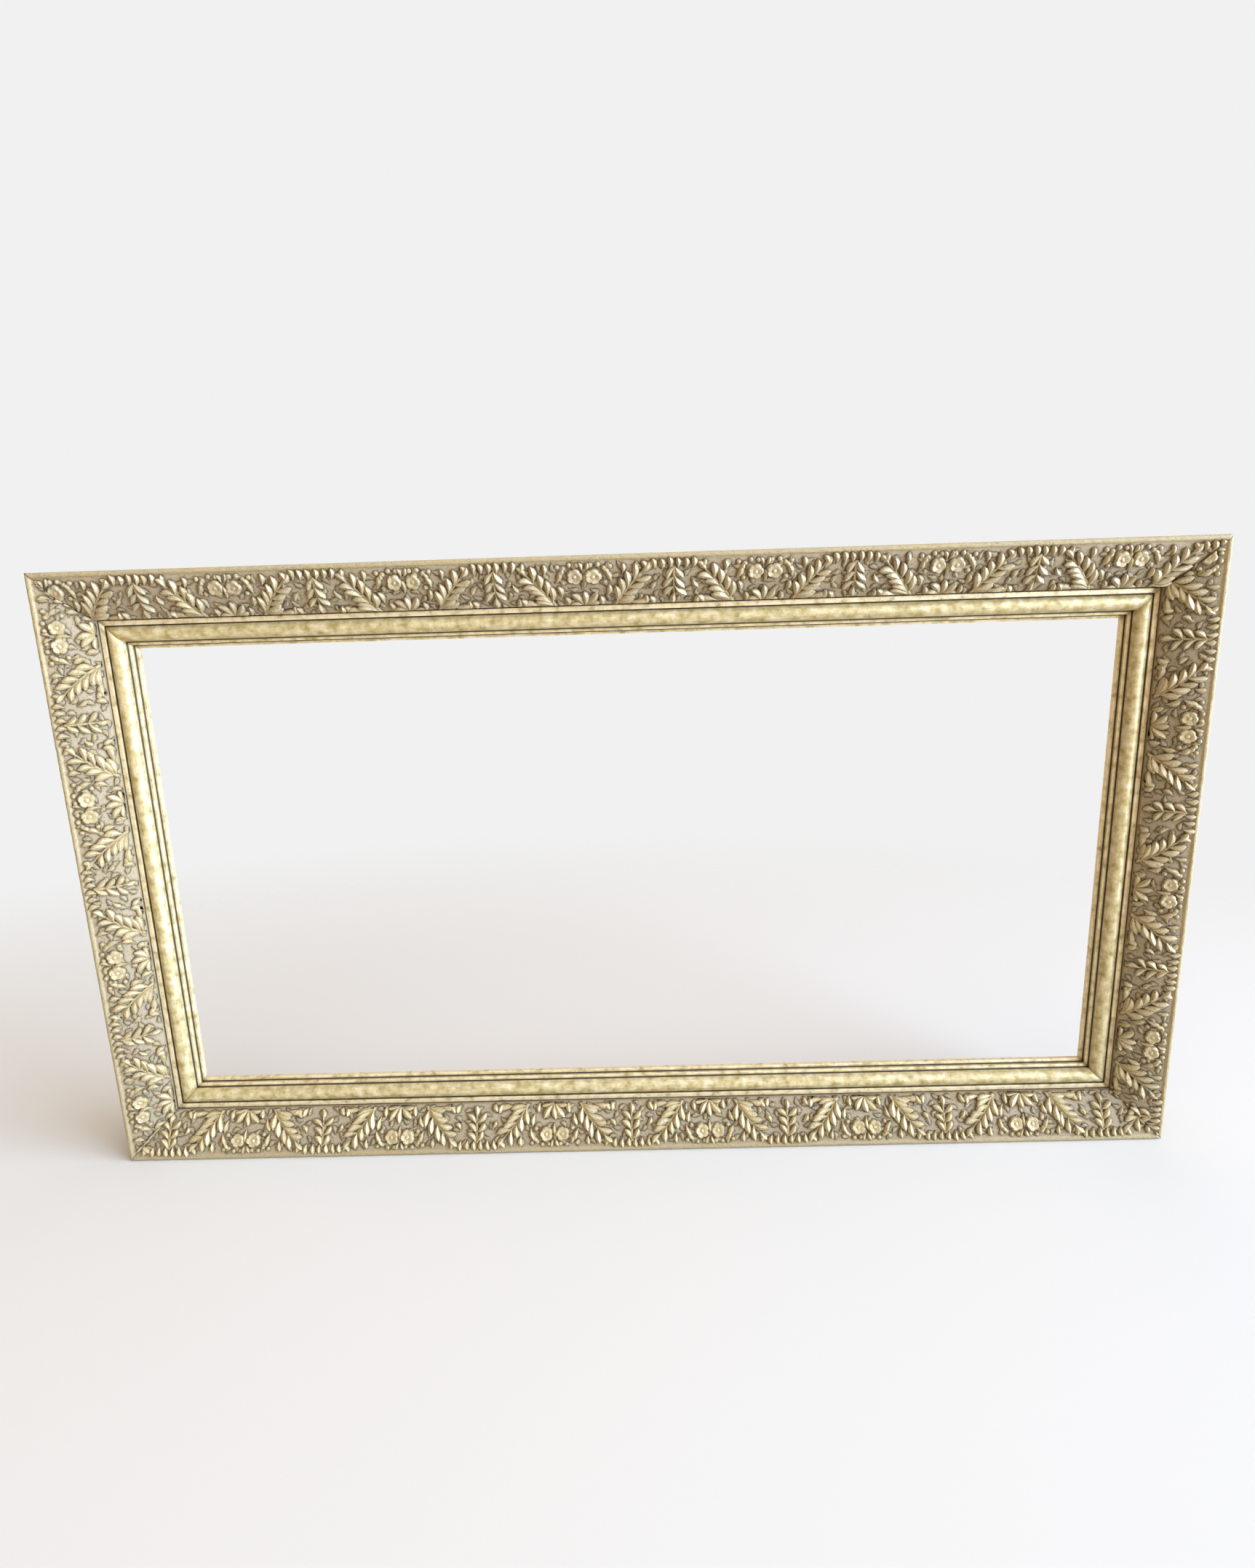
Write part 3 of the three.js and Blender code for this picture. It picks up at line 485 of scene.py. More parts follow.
for name, side in sides.items():
    piece = sweptLength("giltSlip_" + name, slipLoop(), side, slip["station"], slipWave)
    piece.data.transform(side["toPlace"])
    piece.data.update()
    piece.data.materials.append(goldLeaf)
    piece.data.materials.append(limeAlongZ if side["upright"] else limeAlongX)
    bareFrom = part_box("slip_" + name)[1].y - (slip["rebateDepth"] + slip["bareMargin"]) * mm
    for face in piece.data.polygons:
        face.material_index = int(face.center.y > bareFrom)  # the back is left ungilded
    standFor(piece, "slip_" + name)
print("slip lengths swept")


# Pressed ornament: composition strip with leaf and flower relief wrapped over its crown
field = {
    "rimWidth": 6.0, "rimStep": 2.0, "rimRound": 1.8, "width": 41.6, "rise": 22.5, "crown": 3.6,
    "thickness": 2.8, "glueLine": 0.3, "softness": 0.8, "arcSteps": 36, "underSteps": 10, "station": 2.2,
    "pitting": 0.45, "pitSize": 4.0, "pitSlice": 3.1, "finePitting": 0.6, "finerBy": 2.3,
    "rimRelief": 0.4, "rimTint": 0.6, "groundTint": 0.9,
}
chord = math.hypot(field["width"], field["rise"])
field["radius"] = chord ** 2 / (8 * field["crown"]) + field["crown"] / 2
centreDrop = field["radius"] - field["crown"]
field["centreInset"] = field["rimWidth"] + field["width"] / 2 - centreDrop * field["rise"] / chord
field["centreRise"] = field["rise"] / 2 - centreDrop * field["width"] / chord


def fieldHeight(inset, below):  # height over the field's foot of a surface this far below the crown
    return field["centreRise"] + math.sqrt(
        (field["radius"] - below) ** 2 - (inset - field["centreInset"]) ** 2)


coreTop = -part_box("rail_top")[0].y / mm
field["foot"] = coreTop - fieldHeight(0, field["thickness"] + field["glueLine"])
field["inner"] = field["rimWidth"] + field["width"]
footTurn = math.asin((field["inner"] - field["centreInset"]) / field["radius"])
headTurn = math.asin((field["rimWidth"] - field["centreInset"]) / field["radius"])
fieldLength = field["radius"] * (footTurn - headTurn)


def fieldArc(below, start, end, steps):
    insets = [start + (end - start) * i / steps for i in range(steps + 1)]
    return [(inset, field["foot"] + fieldHeight(inset, below)) for inset in insets]


def stripLoop():
    rimTop = field["foot"] + field["rise"] + field["rimStep"]
    rim = [(0, rimTop - field["rimRound"]), (field["rimRound"], rimTop),
           (field["rimWidth"] - field["rimRound"], rimTop)]
    under = fieldArc(field["thickness"], field["inner"], 0, field["underSteps"])
    crown = fieldArc(0, field["rimWidth"], field["inner"], field["arcSteps"])
    return softenedLoop([*under, *rim, *crown], field["softness"])


def stripPits(along, across, edge):  # worn and pitted by handling
    if across < field["inner"]:
        return 0.0
    place = Vector((along, across, field["pitSlice"])) / field["pitSize"]
    fine = field["finePitting"] * noise.noise(place * field["finerBy"])
    return field["pitting"] * (noise.noise(place) + fine)


# One repeat of the relief, drawn flat: along the rail, up from the field's foot, in mm.
# A seed is (shape, along, up, turn from upright in degrees, length, width, rise as a share of the height).
# Leaves below are written the same way, without the shape, for the right half of the repeat.
# creviceReach and creviceShare: how far the painted shade reaches over the ground and up the relief
relief = {
    "repeat": 175.0, "height": 4.4, "seed": 7, "lump": 1.4, "lumpSize": 3.6, "creviceReach": 1.5,
    "flowerSpread": 9.0, "flowerUp": 33.5, "flowerAcross": 17.2,
    "palmetteUp": 0.5, "palmetteLength": 19.5, "palmetteWidth": 8.4, "palmetteFan": 38.0,
    "palmetteShares": ((0, 0.92), (-1, 1.0), (1, 1.0), (-2, 0.8), (2, 0.8)), "palmetteSlim": 0.4,
    "betweenLeaf": (0, 22, 0, 14, 5.6, 0.8), "calyxLeaf": (1.2, 39.0, 22, 9, 5, 0.75),
    "sprayFoot": (29.0, 0.0), "sprayBend": (39.0, 19.0), "sprayHead": (57.0, 37.0),
    "sprayPairs": 4, "sprayStart": 0.14, "sprayRun": 0.82, "sprayFull": 1.1, "sprayTaper": 0.24,
    "sprayTip": 0.96, "tipLength": 0.72, "tipWidth": 0.85, "tipRise": 0.95,
    "leafLength": 18.0, "leafWidth": 8.6, "leafSpread": 36.0,
    "sprigTiers": 3, "sprigTop": 41.0, "sprigPitch": 10.0, "sprigLength": 14.5, "sprigWidth": 7.2,
    "sprigSplay": 6, "sprigRise": 0.95, "sprigEnd": 4, "sprigEndLength": 0.9, "sprigEndRise": 0.9,
    "budCount": 6, "budPitch": 7.4, "budUp": 38.8, "budLength": 10.8, "budWidth": 6.6, "budSplay": 3,
    "budRise": 0.9, "budSideLeaf": (25.5, 37.6, 26, 11, 6.2, 0.85), "beadAcross": 5.6, "beadRise": 0.66,
    "stemThick": 2.3, "stemThin": 1.2, "stemSteps": 8,
    "smallSpacing": 9.5, "smallSize": (6.0, 9.5, 1.3), "footMargin": 1.0, "rimMargin": 4.6,
    "beads": ((19.5, 41.5), (20.5, 27.5), (6.5, 44.4), (13.8, 44.8), (25.5, 43)),
    "fillLeaves": ((16, -1, 6, 13, 6.8, 0.8), (22, 12, 16, 13, 6.8, 0.8), (27, 27, -20, 13, 6.6, 0.8),
                   (25, 34, -34, 10, 6, 0.8), (38, 35, 0, 11, 6.2, 0.8), (70, 27, 215, 10, 6, 0.8)),
    "footLeaves": ((31, 3, 76, 20, 8.4, 0.95), (45, 3.5, 84, 18, 8, 0.95), (57, -1, 24, 13, 7, 0.95),
                   (68, -1, -18, 12, 7, 0.95)),
    "leanChance": 0.09, "leastShare": (0.9, 0.92, 0.75), "mostShare": (1.08, 1.06, 1.08),
    "creviceShare": 0.28,
}
leafShape, flowerShape, beadShape = range(3)


def sprayPoint(share):  # a bent stem: place and heading from upright
    foot, bend, head = (Vector(relief[key]) for key in ("sprayFoot", "sprayBend", "sprayHead"))
    place = foot * (1 - share) ** 2 + bend * 2 * share * (1 - share) + head * share ** 2
    heading = (bend - foot) * (1 - share) + (head - bend) * share
    return place, math.degrees(math.atan2(heading.x, heading.y))


def sprayLine():
    steps = relief["stemSteps"]
    return [sprayPoint(i / steps)[0] for i in range(steps + 1)]


def sprigFoot():
    return relief["sprigTop"] - relief["sprigTiers"] * relief["sprigPitch"]


def motifSeeds():
    seeds = []
    half = relief["repeat"] / 2
    length, width, spread = relief["leafLength"], relief["leafWidth"], relief["leafSpread"]
    for fan, share in relief["palmetteShares"]:
        slim = relief["palmetteSlim"] + (1 - relief["palmetteSlim"]) * share
        seeds.append((leafShape, 0, relief["palmetteUp"], fan * relief["palmetteFan"],
                      relief["palmetteLength"] * share, relief["palmetteWidth"] * slim, 1.0))
    seeds.append((leafShape, *relief["betweenLeaf"]))  # small leaf up between the flowers
    for hand in (-1, 1):
        seeds.append((flowerShape, hand * relief["flowerSpread"], relief["flowerUp"], 0,
                      relief["flowerAcross"], relief["flowerAcross"], 1.0))
        along, up, turn, *size = relief["calyxLeaf"]  # behind the flower, at the rim
        seeds.append((leafShape, hand * along, up, hand * turn, *size))
        for along, up in relief["beads"]:
            seeds.append((beadShape, hand * along, up, 0, relief["beadAcross"], relief["beadAcross"],
                          relief["beadRise"]))
        for along, up, turn, *size in (*relief["fillLeaves"], *relief["footLeaves"]):
            seeds.append((leafShape, hand * along, up, hand * turn, *size))
        for pair in range(relief["sprayPairs"]):
            share = relief["sprayStart"] + relief["sprayRun"] * pair / relief["sprayPairs"]
            place, heading = sprayPoint(share)
            size = relief["sprayFull"] - relief["sprayTaper"] * share
            for lean in (-spread, spread):
                seeds.append((leafShape, hand * place.x, place.y, hand * (heading + lean),
                              length * size, width * size, 1.0))
        place, heading = sprayPoint(relief["sprayTip"])
        seeds.append((leafShape, hand * place.x, place.y, hand * heading,
                      length * relief["tipLength"], width * relief["tipWidth"], relief["tipRise"]))
        for tier in range(relief["sprigTiers"]):
            up = relief["sprigTop"] - tier * relief["sprigPitch"]
            seeds.append((leafShape, half, up, 180 - hand * (spread + relief["sprigSplay"] * tier),
                          relief["sprigLength"], relief["sprigWidth"], relief["sprigRise"]))
        along, up, turn, *size = relief["budSideLeaf"]
        seeds.append((leafShape, half + hand * along, up, hand * turn, *size))
    seeds.append((leafShape, half, sprigFoot() + relief["sprigEnd"], 180,
                  relief["sprigLength"] * relief["sprigEndLength"], relief["sprigWidth"],
                  relief["sprigEndRise"]))
    for bud in range(relief["budCount"]):
        lean = bud - (relief["budCount"] - 1) / 2
        seeds.append((leafShape, half + lean * relief["budPitch"], relief["budUp"], relief["budSplay"] * lean,
                      relief["budLength"], relief["budWidth"], relief["budRise"]))
    return seeds


# Points and stem lines of one repeat, with what the node tree needs to know of each point
def motifObject():
    half = relief["repeat"] / 2
    rows = [(along, up, shape, turn, length, width, rise, 0.0)
            for shape, along, up, turn, length, width, rise in motifSeeds()]
    lines = [[(hand * p.x, p.y) for p in sprayLine()] for hand in (-1, 1)]
    steps = relief["stemSteps"]
    lines.append([(half, relief["sprigTop"] * (1 - i / steps) + sprigFoot() * i / steps)
                  for i in range(steps + 1)])
    edges = []
    for line in lines:
        start = len(rows)
        for k, (along, up) in enumerate(line):
            taper = k / (len(line) - 1)
            thick = relief["stemThick"] * (1 - taper) + relief["stemThin"] * taper
            rows.append((along, up, -1, 0.0, 0.0, 0.0, 0.0, thick))
        edges += [(start + k, start + k + 1) for k in range(len(line) - 1)]
    mesh = meshFrom("reliefMotif", [(row[0] * mm, row[1] * mm, 0.0) for row in rows], edges=edges)
    setPointValues(mesh, "shape", "INT", [row[2] for row in rows])
    setPointValues(mesh, "turn", "FLOAT", [-math.radians(row[3]) for row in rows])
    rise = relief["height"]
    setPointValues(mesh, "sizes", "FLOAT_VECTOR",
                   [(row[5] * mm, row[4] * mm, row[6] * rise * mm) for row in rows])
    setPointValues(mesh, "thick", "FLOAT", [row[7] * mm for row in rows])
    return newObject("reliefMotif", mesh)


unitWeld = 1e-4  # the same as weld, for shapes one unit in size
reliefCrease = 70  # degrees past which an edge of the relief stays sharp


# Closes a raised sheet downwards with a skirt and a floor, so that it stands in the ground
def rooted(name, vertices, faces, depth):
    mesh = meshFrom(name, vertices, faces)
    with editing(mesh) as shape:
        bmesh.ops.remove_doubles(shape, verts=shape.verts, dist=unitWeld)
        rim = [edge for edge in shape.edges if edge.is_boundary]
        skirt = bmesh.ops.extrude_edge_only(shape, edges=rim)["geom"]
        for part in skirt:
            if isinstance(part, bmesh.types.BMVert):
                part.co.z = -depth
        bmesh.ops.holes_fill(shape, edges=[edge for edge in shape.edges if edge.is_boundary], sides=0)
        bmesh.ops.recalc_face_normals(shape, faces=shape.faces)
    smoothShaded(mesh, reliefCrease)
    return newObject(name, mesh)


# Shapes one unit long, wide and high, that the node tree sets on the seeds
leaf = {
    "rows": 7, "section": ((-1, 0), (-0.7, 0.74), (0, 1), (0.7, 0.74), (1, 0)), "start": 0.0,
    "smallRows": 5, "smallSection": ((-1, 0), (-0.6, 0.7), (0, 1), (0.6, 0.7), (1, 0)), "smallStart": 0.5,
    "belly": 1.5, "fullness": 0.62, "stalk": 0.16, "bend": 0.2, "root": 0.3,
    "lowCrest": 0.35, "crestFrom": 0.05, "crestRun": 0.7, "crestPower": 0.8,
}
flower = {
    "rings": ((0, 0.92), (0.2, 0.86), (0.32, 0.7), (0.5, 0.84), (0.74, 0.86), (0.92, 0.52), (1.0, 0.0)),
    "around": 30, "petals": 5, "lobe": 0.16, "petalPower": 0.6, "petalsFrom": 0.4, "petalsGrow": 3,
    "root": 0.35,
}
bead = {"rings": ((0, 1.0), (0.5, 0.82), (0.86, 0.45), (1.0, 0.0)), "around": 8, "petals": 8, "lobe": 0.0}


# A blunt leaf of given cross-section, a little bent
def leafObject(name, rows, section, start):
    vertices = []
    for i in range(rows + 1):
        s = i / rows
        wide = leaf["stalk"] * (1 - s)
        if 0 < i < rows:
            wide = math.sin(math.pi * s ** leaf["belly"]) ** leaf["fullness"]
        arch = math.sin(math.pi * (leaf["crestFrom"] + leaf["crestRun"] * s)) ** leaf["crestPower"]
        crest = leaf["lowCrest"] + (1 - leaf["lowCrest"]) * arch
        bend = leaf["bend"] * (math.sin(math.pi * s) - 0.5)
        vertices += [(v * wide / 2 + bend, s - start, crest * high) for v, high in section]
    return rooted(name, vertices, gridFaces(rows + 1, len(section)), leaf["root"])


# A round boss: petals round a button, or a plain bead when its lobe is nothing
def bossObject(name, rings, around, petals, lobe):
    vertices = [(0, 0, rings[0][1])]
    for reach, height in rings[1:]:
        opened = max(0, min(1, (reach - flower["petalsFrom"]) * flower["petalsGrow"]))
        for k in range(around):
            angle = 2 * math.pi * k / around
            petal = lobe * abs(math.cos(petals * angle / 2)) ** flower["petalPower"] * opened
            vertices.append((reach * (1 - lobe + petal) * math.cos(angle) / 2,
                             reach * (1 - lobe + petal) * math.sin(angle) / 2, height * (1 + petal)))
    faces = [(0, 1 + k, 1 + (k + 1) % around) for k in range(around)]
    for ring in range(len(rings) - 2):
        base = 1 + ring * around
        faces += [(base + k, base + around + k, base + around + (k + 1) % around, base + (k + 1) % around)
                  for k in range(around)]
    return rooted(name, vertices, faces, flower["root"])


# Node tree: lays repeats of the motif along the rail, sets a shape on each seed, wraps all over the crown
def reliefTree():
    tree, given = newTree("pressedRelief", {
        "Geometry": ["Geometry"], "Object": ["Motif", "Leaf", "Flower", "Bead", "Small Leaf"],
        "Vector": ["Small Size", "Small Area"], "Int": ["Repeat Count", "Seed"], "Material": ["Gilding"],
        "Float": ["Small Spacing", "Repeat Length", "First Place", "Relief Height", "Field Radius",
                  "Centre Inset", "Centre Height", "Foot Turn", "Half Extent", "Crevice Reach",
                  "Lump Height", "Lump Scale"]}, "Geometry")

    motif = addNode(tree, "GeometryNodeObjectInfo", {"Object": given["Motif"]}, out="Geometry")
    firstPlace = addNode(tree, "ShaderNodeCombineXYZ", {"X": given["First Place"]})
    stride = addNode(tree, "ShaderNodeCombineXYZ", {"X": given["Repeat Length"]})
    places = addNode(tree, "GeometryNodeMeshLine",
                     {"Count": given["Repeat Count"], "Start Location": firstPlace, "Offset": stride})
    rows = addNode(tree, "GeometryNodeInstanceOnPoints", {"Points": places, "Instance": motif})
    layout = addNode(tree, "GeometryNodeRealizeInstances", {"Geometry": rows})

    # Seeds become leaves, flowers and beads, each a little unlike the next
    shapeOf, turnOf, sizesOf, thickOf = (
        addNode(tree, "GeometryNodeInputNamedAttribute", {"Name": name}, data_type=kind)
        for name, kind in (("shape", "INT"), ("turn", "FLOAT"), ("sizes", "FLOAT_VECTOR"),
                           ("thick", "FLOAT")))
    lean = addNode(tree, "FunctionNodeRandomValue",
                   {"Min_001": -relief["leanChance"], "Max_001": relief["leanChance"], "Seed": given["Seed"]},
                   out="Value_001", data_type="FLOAT")
    vary = addNode(tree, "FunctionNodeRandomValue",
                   {"Min": relief["leastShare"], "Max": relief["mostShare"], "Seed": given["Seed"]},
                   data_type="FLOAT_VECTOR")
    leant = addNode(tree, "ShaderNodeMath", {"Value": turnOf, "Value_001": lean}, operation="ADD")
    heading = addNode(tree, "ShaderNodeCombineXYZ", {"Z": leant})
    sizes = addNode(tree, "ShaderNodeVectorMath", {"Vector": sizesOf, "Vector_001": vary},
                    operation="MULTIPLY")
    pressed = []
    for number, shapeName in enumerate(("Leaf", "Flower", "Bead")):
        shape = addNode(tree, "GeometryNodeObjectInfo", {"Object": given[shapeName]}, out="Geometry")
        chosen = addNode(tree, "FunctionNodeCompare", {"A_INT": shapeOf, "B_INT": number},
                         data_type="INT", operation="EQUAL")
        pressed.append(addNode(tree, "GeometryNodeInstanceOnPoints",
                               {"Points": layout, "Selection": chosen, "Instance": shape,
                                "Rotation": heading, "Scale": sizes}))

    # Small low leaves lie about on the ground under the rest
    area = addNode(tree, "ShaderNodeSeparateXYZ", {"Vector": given["Small Area"]}).node.outputs
    sheet = addNode(tree, "GeometryNodeMeshGrid", {"Size X": area["X"], "Size Y": area["Y"],
                                                   "Vertices X": 2, "Vertices Y": 2})
    middle = addNode(tree, "ShaderNodeCombineXYZ", {"Y": area["Z"]})
    ground = addNode(tree, "GeometryNodeTransform", {"Geometry": sheet, "Translation": middle})
    strewn = addNode(tree, "GeometryNodeDistributePointsOnFaces",
                     {"Mesh": ground, "Distance Min": given["Small Spacing"], "Density Max": 1e6,
                      "Seed": given["Seed"]}, distribute_method="POISSON")
    small = addNode(tree, "GeometryNodeObjectInfo", {"Object": given["Small Leaf"]}, out="Geometry")
    anyTurn = addNode(tree, "FunctionNodeRandomValue",
                      {"Max": (0.0, 0.0, 2 * math.pi), "Seed": given["Seed"]}, data_type="FLOAT_VECTOR")
    smallSizes = addNode(tree, "ShaderNodeVectorMath", {"Vector": given["Small Size"], "Vector_001": vary},
                         operation="MULTIPLY")
    pressed.append(addNode(tree, "GeometryNodeInstanceOnPoints",
                           {"Points": strewn, "Instance": small, "Rotation": anyTurn, "Scale": smallSizes}))

    # Stem lines become tapering half-sunk rods
    lines = addNode(tree, "GeometryNodeMeshToCurve", {"Mesh": layout})
    round6 = addNode(tree, "GeometryNodeCurvePrimitiveCircle", {"Resolution": 6, "Radius": 1.0})
    pressed.append(addNode(tree, "GeometryNodeCurveToMesh", {"Curve": lines, "Profile Curve": round6,
                                                             "Scale": thickOf, "Fill Caps": True}))
    joined = addNode(tree, "GeometryNodeJoinGeometry", {"Geometry": pressed})
    tint = addNode(tree, "FunctionNodeRandomValue", {"Seed": given["Seed"]},
                   out="Value_001", data_type="FLOAT")
    tinted = addNode(tree, "GeometryNodeStoreNamedAttribute",
                     {"Geometry": joined, "Name": "tint", "Value": tint},
                     data_type="FLOAT", domain="INSTANCE")
    loose = addNode(tree, "GeometryNodeRealizeInstances", {"Geometry": tinted})

    # What the gilding reads: place on the flat drawing, height in the relief, and where to paint shade low on
    # its flanks
    here = addNode(tree, "GeometryNodeInputPosition")
    axes = addNode(tree, "ShaderNodeSeparateXYZ", {"Vector": here}).node.outputs
    rise = addNode(tree, "ShaderNodeMath", {"Value": axes["Z"], "Value_001": given["Relief Height"]},
                   operation="DIVIDE", use_clamp=True)
    # Painted shade mask: the lowest share of each shape's height
    low = addNode(tree, "ShaderNodeMapRange",
                  {"Value": rise, "From Min": 0.0, "From Max": relief["creviceShare"],
                   "To Min": 1.0, "To Max": 0.0})
    marked = loose
    for name, value, kind, domain in (
            ("flat", here, "FLOAT_VECTOR", "POINT"), ("relief", rise, "FLOAT", "POINT"),
            ("crevice", low, "FLOAT", "POINT"), ("pressed", 1, "INT", "FACE")):
        marked = addNode(tree, "GeometryNodeStoreNamedAttribute",
                         {"Geometry": marked, "Name": name, "Value": value}, data_type=kind, domain=domain)

    # Wrap over the crown: the drawing's height turns about the field's centre
    swing = addNode(tree, "ShaderNodeMath", {"Value": axes["Y"], "Value_001": given["Field Radius"]},
                    operation="DIVIDE")
    turn = addNode(tree, "ShaderNodeMath", {"Value": given["Foot Turn"], "Value_001": swing},
                   operation="SUBTRACT")
    lump = addNode(tree, "ShaderNodeTexNoise", {"Vector": here, "Scale": given["Lump Scale"], "Detail": 2.0})
    swell = addNode(tree, "ShaderNodeMath", {"Value": lump, "Value_001": -0.5}, operation="ADD")
    uneven = addNode(tree, "ShaderNodeMath", {"Value": swell, "Value_001": given["Lump Height"],
                                              "Value_002": axes["Z"]}, operation="MULTIPLY_ADD")
    reach = addNode(tree, "ShaderNodeMath", {"Value": given["Field Radius"], "Value_001": uneven},
                    operation="ADD")
    sine, cosine = (addNode(tree, "ShaderNodeMath", {"Value": turn}, operation=kind)
                    for kind in ("SINE", "COSINE"))
    inset = addNode(tree, "ShaderNodeMath", {"Value": reach, "Value_001": sine,
                                             "Value_002": given["Centre Inset"]}, operation="MULTIPLY_ADD")
    height = addNode(tree, "ShaderNodeMath", {"Value": reach, "Value_001": cosine,
                                              "Value_002": given["Centre Height"]}, operation="MULTIPLY_ADD")
    forward = addNode(tree, "ShaderNodeMath", {"Value": height, "Value_001": -1.0}, operation="MULTIPLY")
    outward = addNode(tree, "ShaderNodeMath", {"Value": given["Half Extent"], "Value_001": inset},
                      operation="SUBTRACT")
    wrapped = addNode(tree, "ShaderNodeCombineXYZ", {"X": axes["X"], "Y": forward, "Z": outward})
    onCrown = addNode(tree, "GeometryNodeSetPosition", {"Geometry": marked, "Position": wrapped})

    # Painted shade: the ground darkens close to what stands on it
    near = addNode(tree, "GeometryNodeProximity", {"Target": onCrown}, out="Distance", target_element="FACES")
    close = addNode(tree, "ShaderNodeMapRange", {"Value": near, "From Max": given["Crevice Reach"],
                                                 "To Min": 1.0, "To Max": 0.0})
    ground = addNode(tree, "GeometryNodeStoreNamedAttribute",
                     {"Geometry": given["Geometry"], "Name": "crevice", "Value": close},
                     data_type="FLOAT", domain="POINT")
    whole = addNode(tree, "GeometryNodeJoinGeometry", {"Geometry": [ground, onCrown]})
    for name in ("shape", "turn", "sizes", "thick"):
        whole = addNode(tree, "GeometryNodeRemoveAttribute", {"Geometry": whole, "Name": name})
    real = addNode(tree, "GeometryNodeRealizeInstances", {"Geometry": whole})
    gilt = addNode(tree, "GeometryNodeSetMaterial", {"Geometry": real, "Material": given["Gilding"]})
    addNode(tree, "NodeGroupOutput", {"Geometry": gilt})
    return tree


# Cuts the relief off at both mitres and along the foot, and closes the cuts
def trimAtEdges(mesh, side):
    cuts = [(Vector((0, 0, side["halfExtent"] - field["inner"] * mm)), Vector((0, 0, -1)))]
    for end in (-1, 1):
        corner = Vector((end * (side["halfLength"] - mitreGap), 0, side["halfExtent"]))
        cuts.append((corner, Vector((end, 0, -1)).normalized()))
    with editing(mesh) as shape:
        isPressed = shape.faces.layers.int["pressed"]
        for place, outwards in cuts:
            faces = [face for face in shape.faces if face[isPressed]]
            parts = {part for face in faces for part in (*face.verts, *face.edges)}
            bmesh.ops.bisect_plane(shape, geom=[*faces, *parts], dist=weld, plane_co=place,
                                   plane_no=outwards, clear_outer=True)
            bmesh.ops.holes_fill(shape, edges=[edge for edge in shape.edges if edge.is_boundary], sides=0)
        stray = [vertex for vertex in shape.verts if not vertex.link_faces]
        bmesh.ops.delete(shape, geom=stray, context="VERTS")


motif = motifObject()
leafProto = leafObject("leafShape", leaf["rows"], leaf["section"], leaf["start"])
smallProto = leafObject("smallLeafShape", leaf["smallRows"], leaf["smallSection"], leaf["smallStart"])
flowerProto, beadProto = (bossObject(name, boss["rings"], boss["around"], boss["petals"], boss["lobe"])
                          for name, boss in (("flowerShape", flower), ("beadShape", bead)))
pressTree = reliefTree()
smallFoot, smallTop = relief["footMargin"], fieldLength - relief["rimMargin"]
for name, side in sides.items():
    piece = sweptLength("pressedOrnament_" + name, stripLoop(), side, field["station"], stripPits)
    rimEdge = side["halfExtent"] - field["rimWidth"] * mm
    onRim = [vertex.co.z > rimEdge for vertex in piece.data.vertices]
    setPointValues(piece.data, "relief", "FLOAT", [field["rimRelief"] * rim for rim in onRim])
    tints = [field["rimTint"] if rim else field["groundTint"] for rim in onRim]
    setPointValues(piece.data, "tint", "FLOAT", tints)
    piece.data.materials.append(gilding)
    # The repeats start before one mitre and end past the other, and are cut there afterwards
    firstRepeat = math.floor((-side["halfLength"] / mm - side["flowerAt"]) / relief["repeat"]) - 1
    settings = {
        "Motif": motif, "Leaf": leafProto, "Flower": flowerProto, "Bead": beadProto,
        "Small Leaf": smallProto, "Small Spacing": relief["smallSpacing"] * mm,
        "Small Size": [part * mm for part in relief["smallSize"]],
        "Small Area": (2 * side["halfLength"], (smallTop - smallFoot) * mm, (smallTop + smallFoot) / 2 * mm),
        "Repeat Length": relief["repeat"] * mm,
        "Repeat Count": math.ceil(2 * side["halfLength"] / (relief["repeat"] * mm)) + 3,
        "First Place": (side["flowerAt"] + firstRepeat * relief["repeat"]) * mm,
        "Relief Height": relief["height"] * mm, "Field Radius": field["radius"] * mm,
        "Centre Inset": field["centreInset"] * mm,
        "Centre Height": (field["foot"] + field["centreRise"]) * mm,
        "Foot Turn": footTurn, "Half Extent": side["halfExtent"],
        "Crevice Reach": relief["creviceReach"] * mm,
        "Lump Height": relief["lump"] * mm, "Lump Scale": perMetre(relief["lumpSize"]),
        "Seed": relief["seed"] + side["turn"], "Gilding": gilding,
    }
    grow(piece, pressTree, settings)
    trimAtEdges(piece.data, side)
    piece.data.transform(side["toPlace"])
    piece.data.update()
    standFor(piece, "ornament_" + name)
    print("ornament pressed:", name, len(piece.data.polygons), "faces")
for helper in (motif, leafProto, smallProto, flowerProto, beadProto):
    bpy.data.objects.remove(helper)


# Wooden cores and corner keys: the solids' own shapes in old wood
for name, side in sides.items():
    wood = pineAlongZ if side["upright"] else pineAlongX
    frame["nodes"][side["core"]].material_slots[0].material = wood
for node, piece in frame["nodes"].items():
    if node.startswith("corner_key"):
        piece.material_slots[0].material = keyWood
print("wood dressed")


# Turned fixings and bent wire

metalCrease = 40  # degrees past which an edge of metal stays sharp


# A shape turned about Y from (radius, height) in mm, its first and last point on the axis
def turnedMesh(name, profile, around):
    vertices = []
    for k in range(around):
        angle = 2 * math.pi * k / around
        vertices += [(r * math.cos(angle) * mm, y * mm, r * math.sin(angle) * mm) for r, y in profile]
    mesh = meshFrom(name, vertices, gridFaces(around, len(profile), lastMeetsFirst=True))
    faceOutwards(mesh, mergeWithin=weld)
    smoothShaded(mesh, metalCrease)
    return mesh


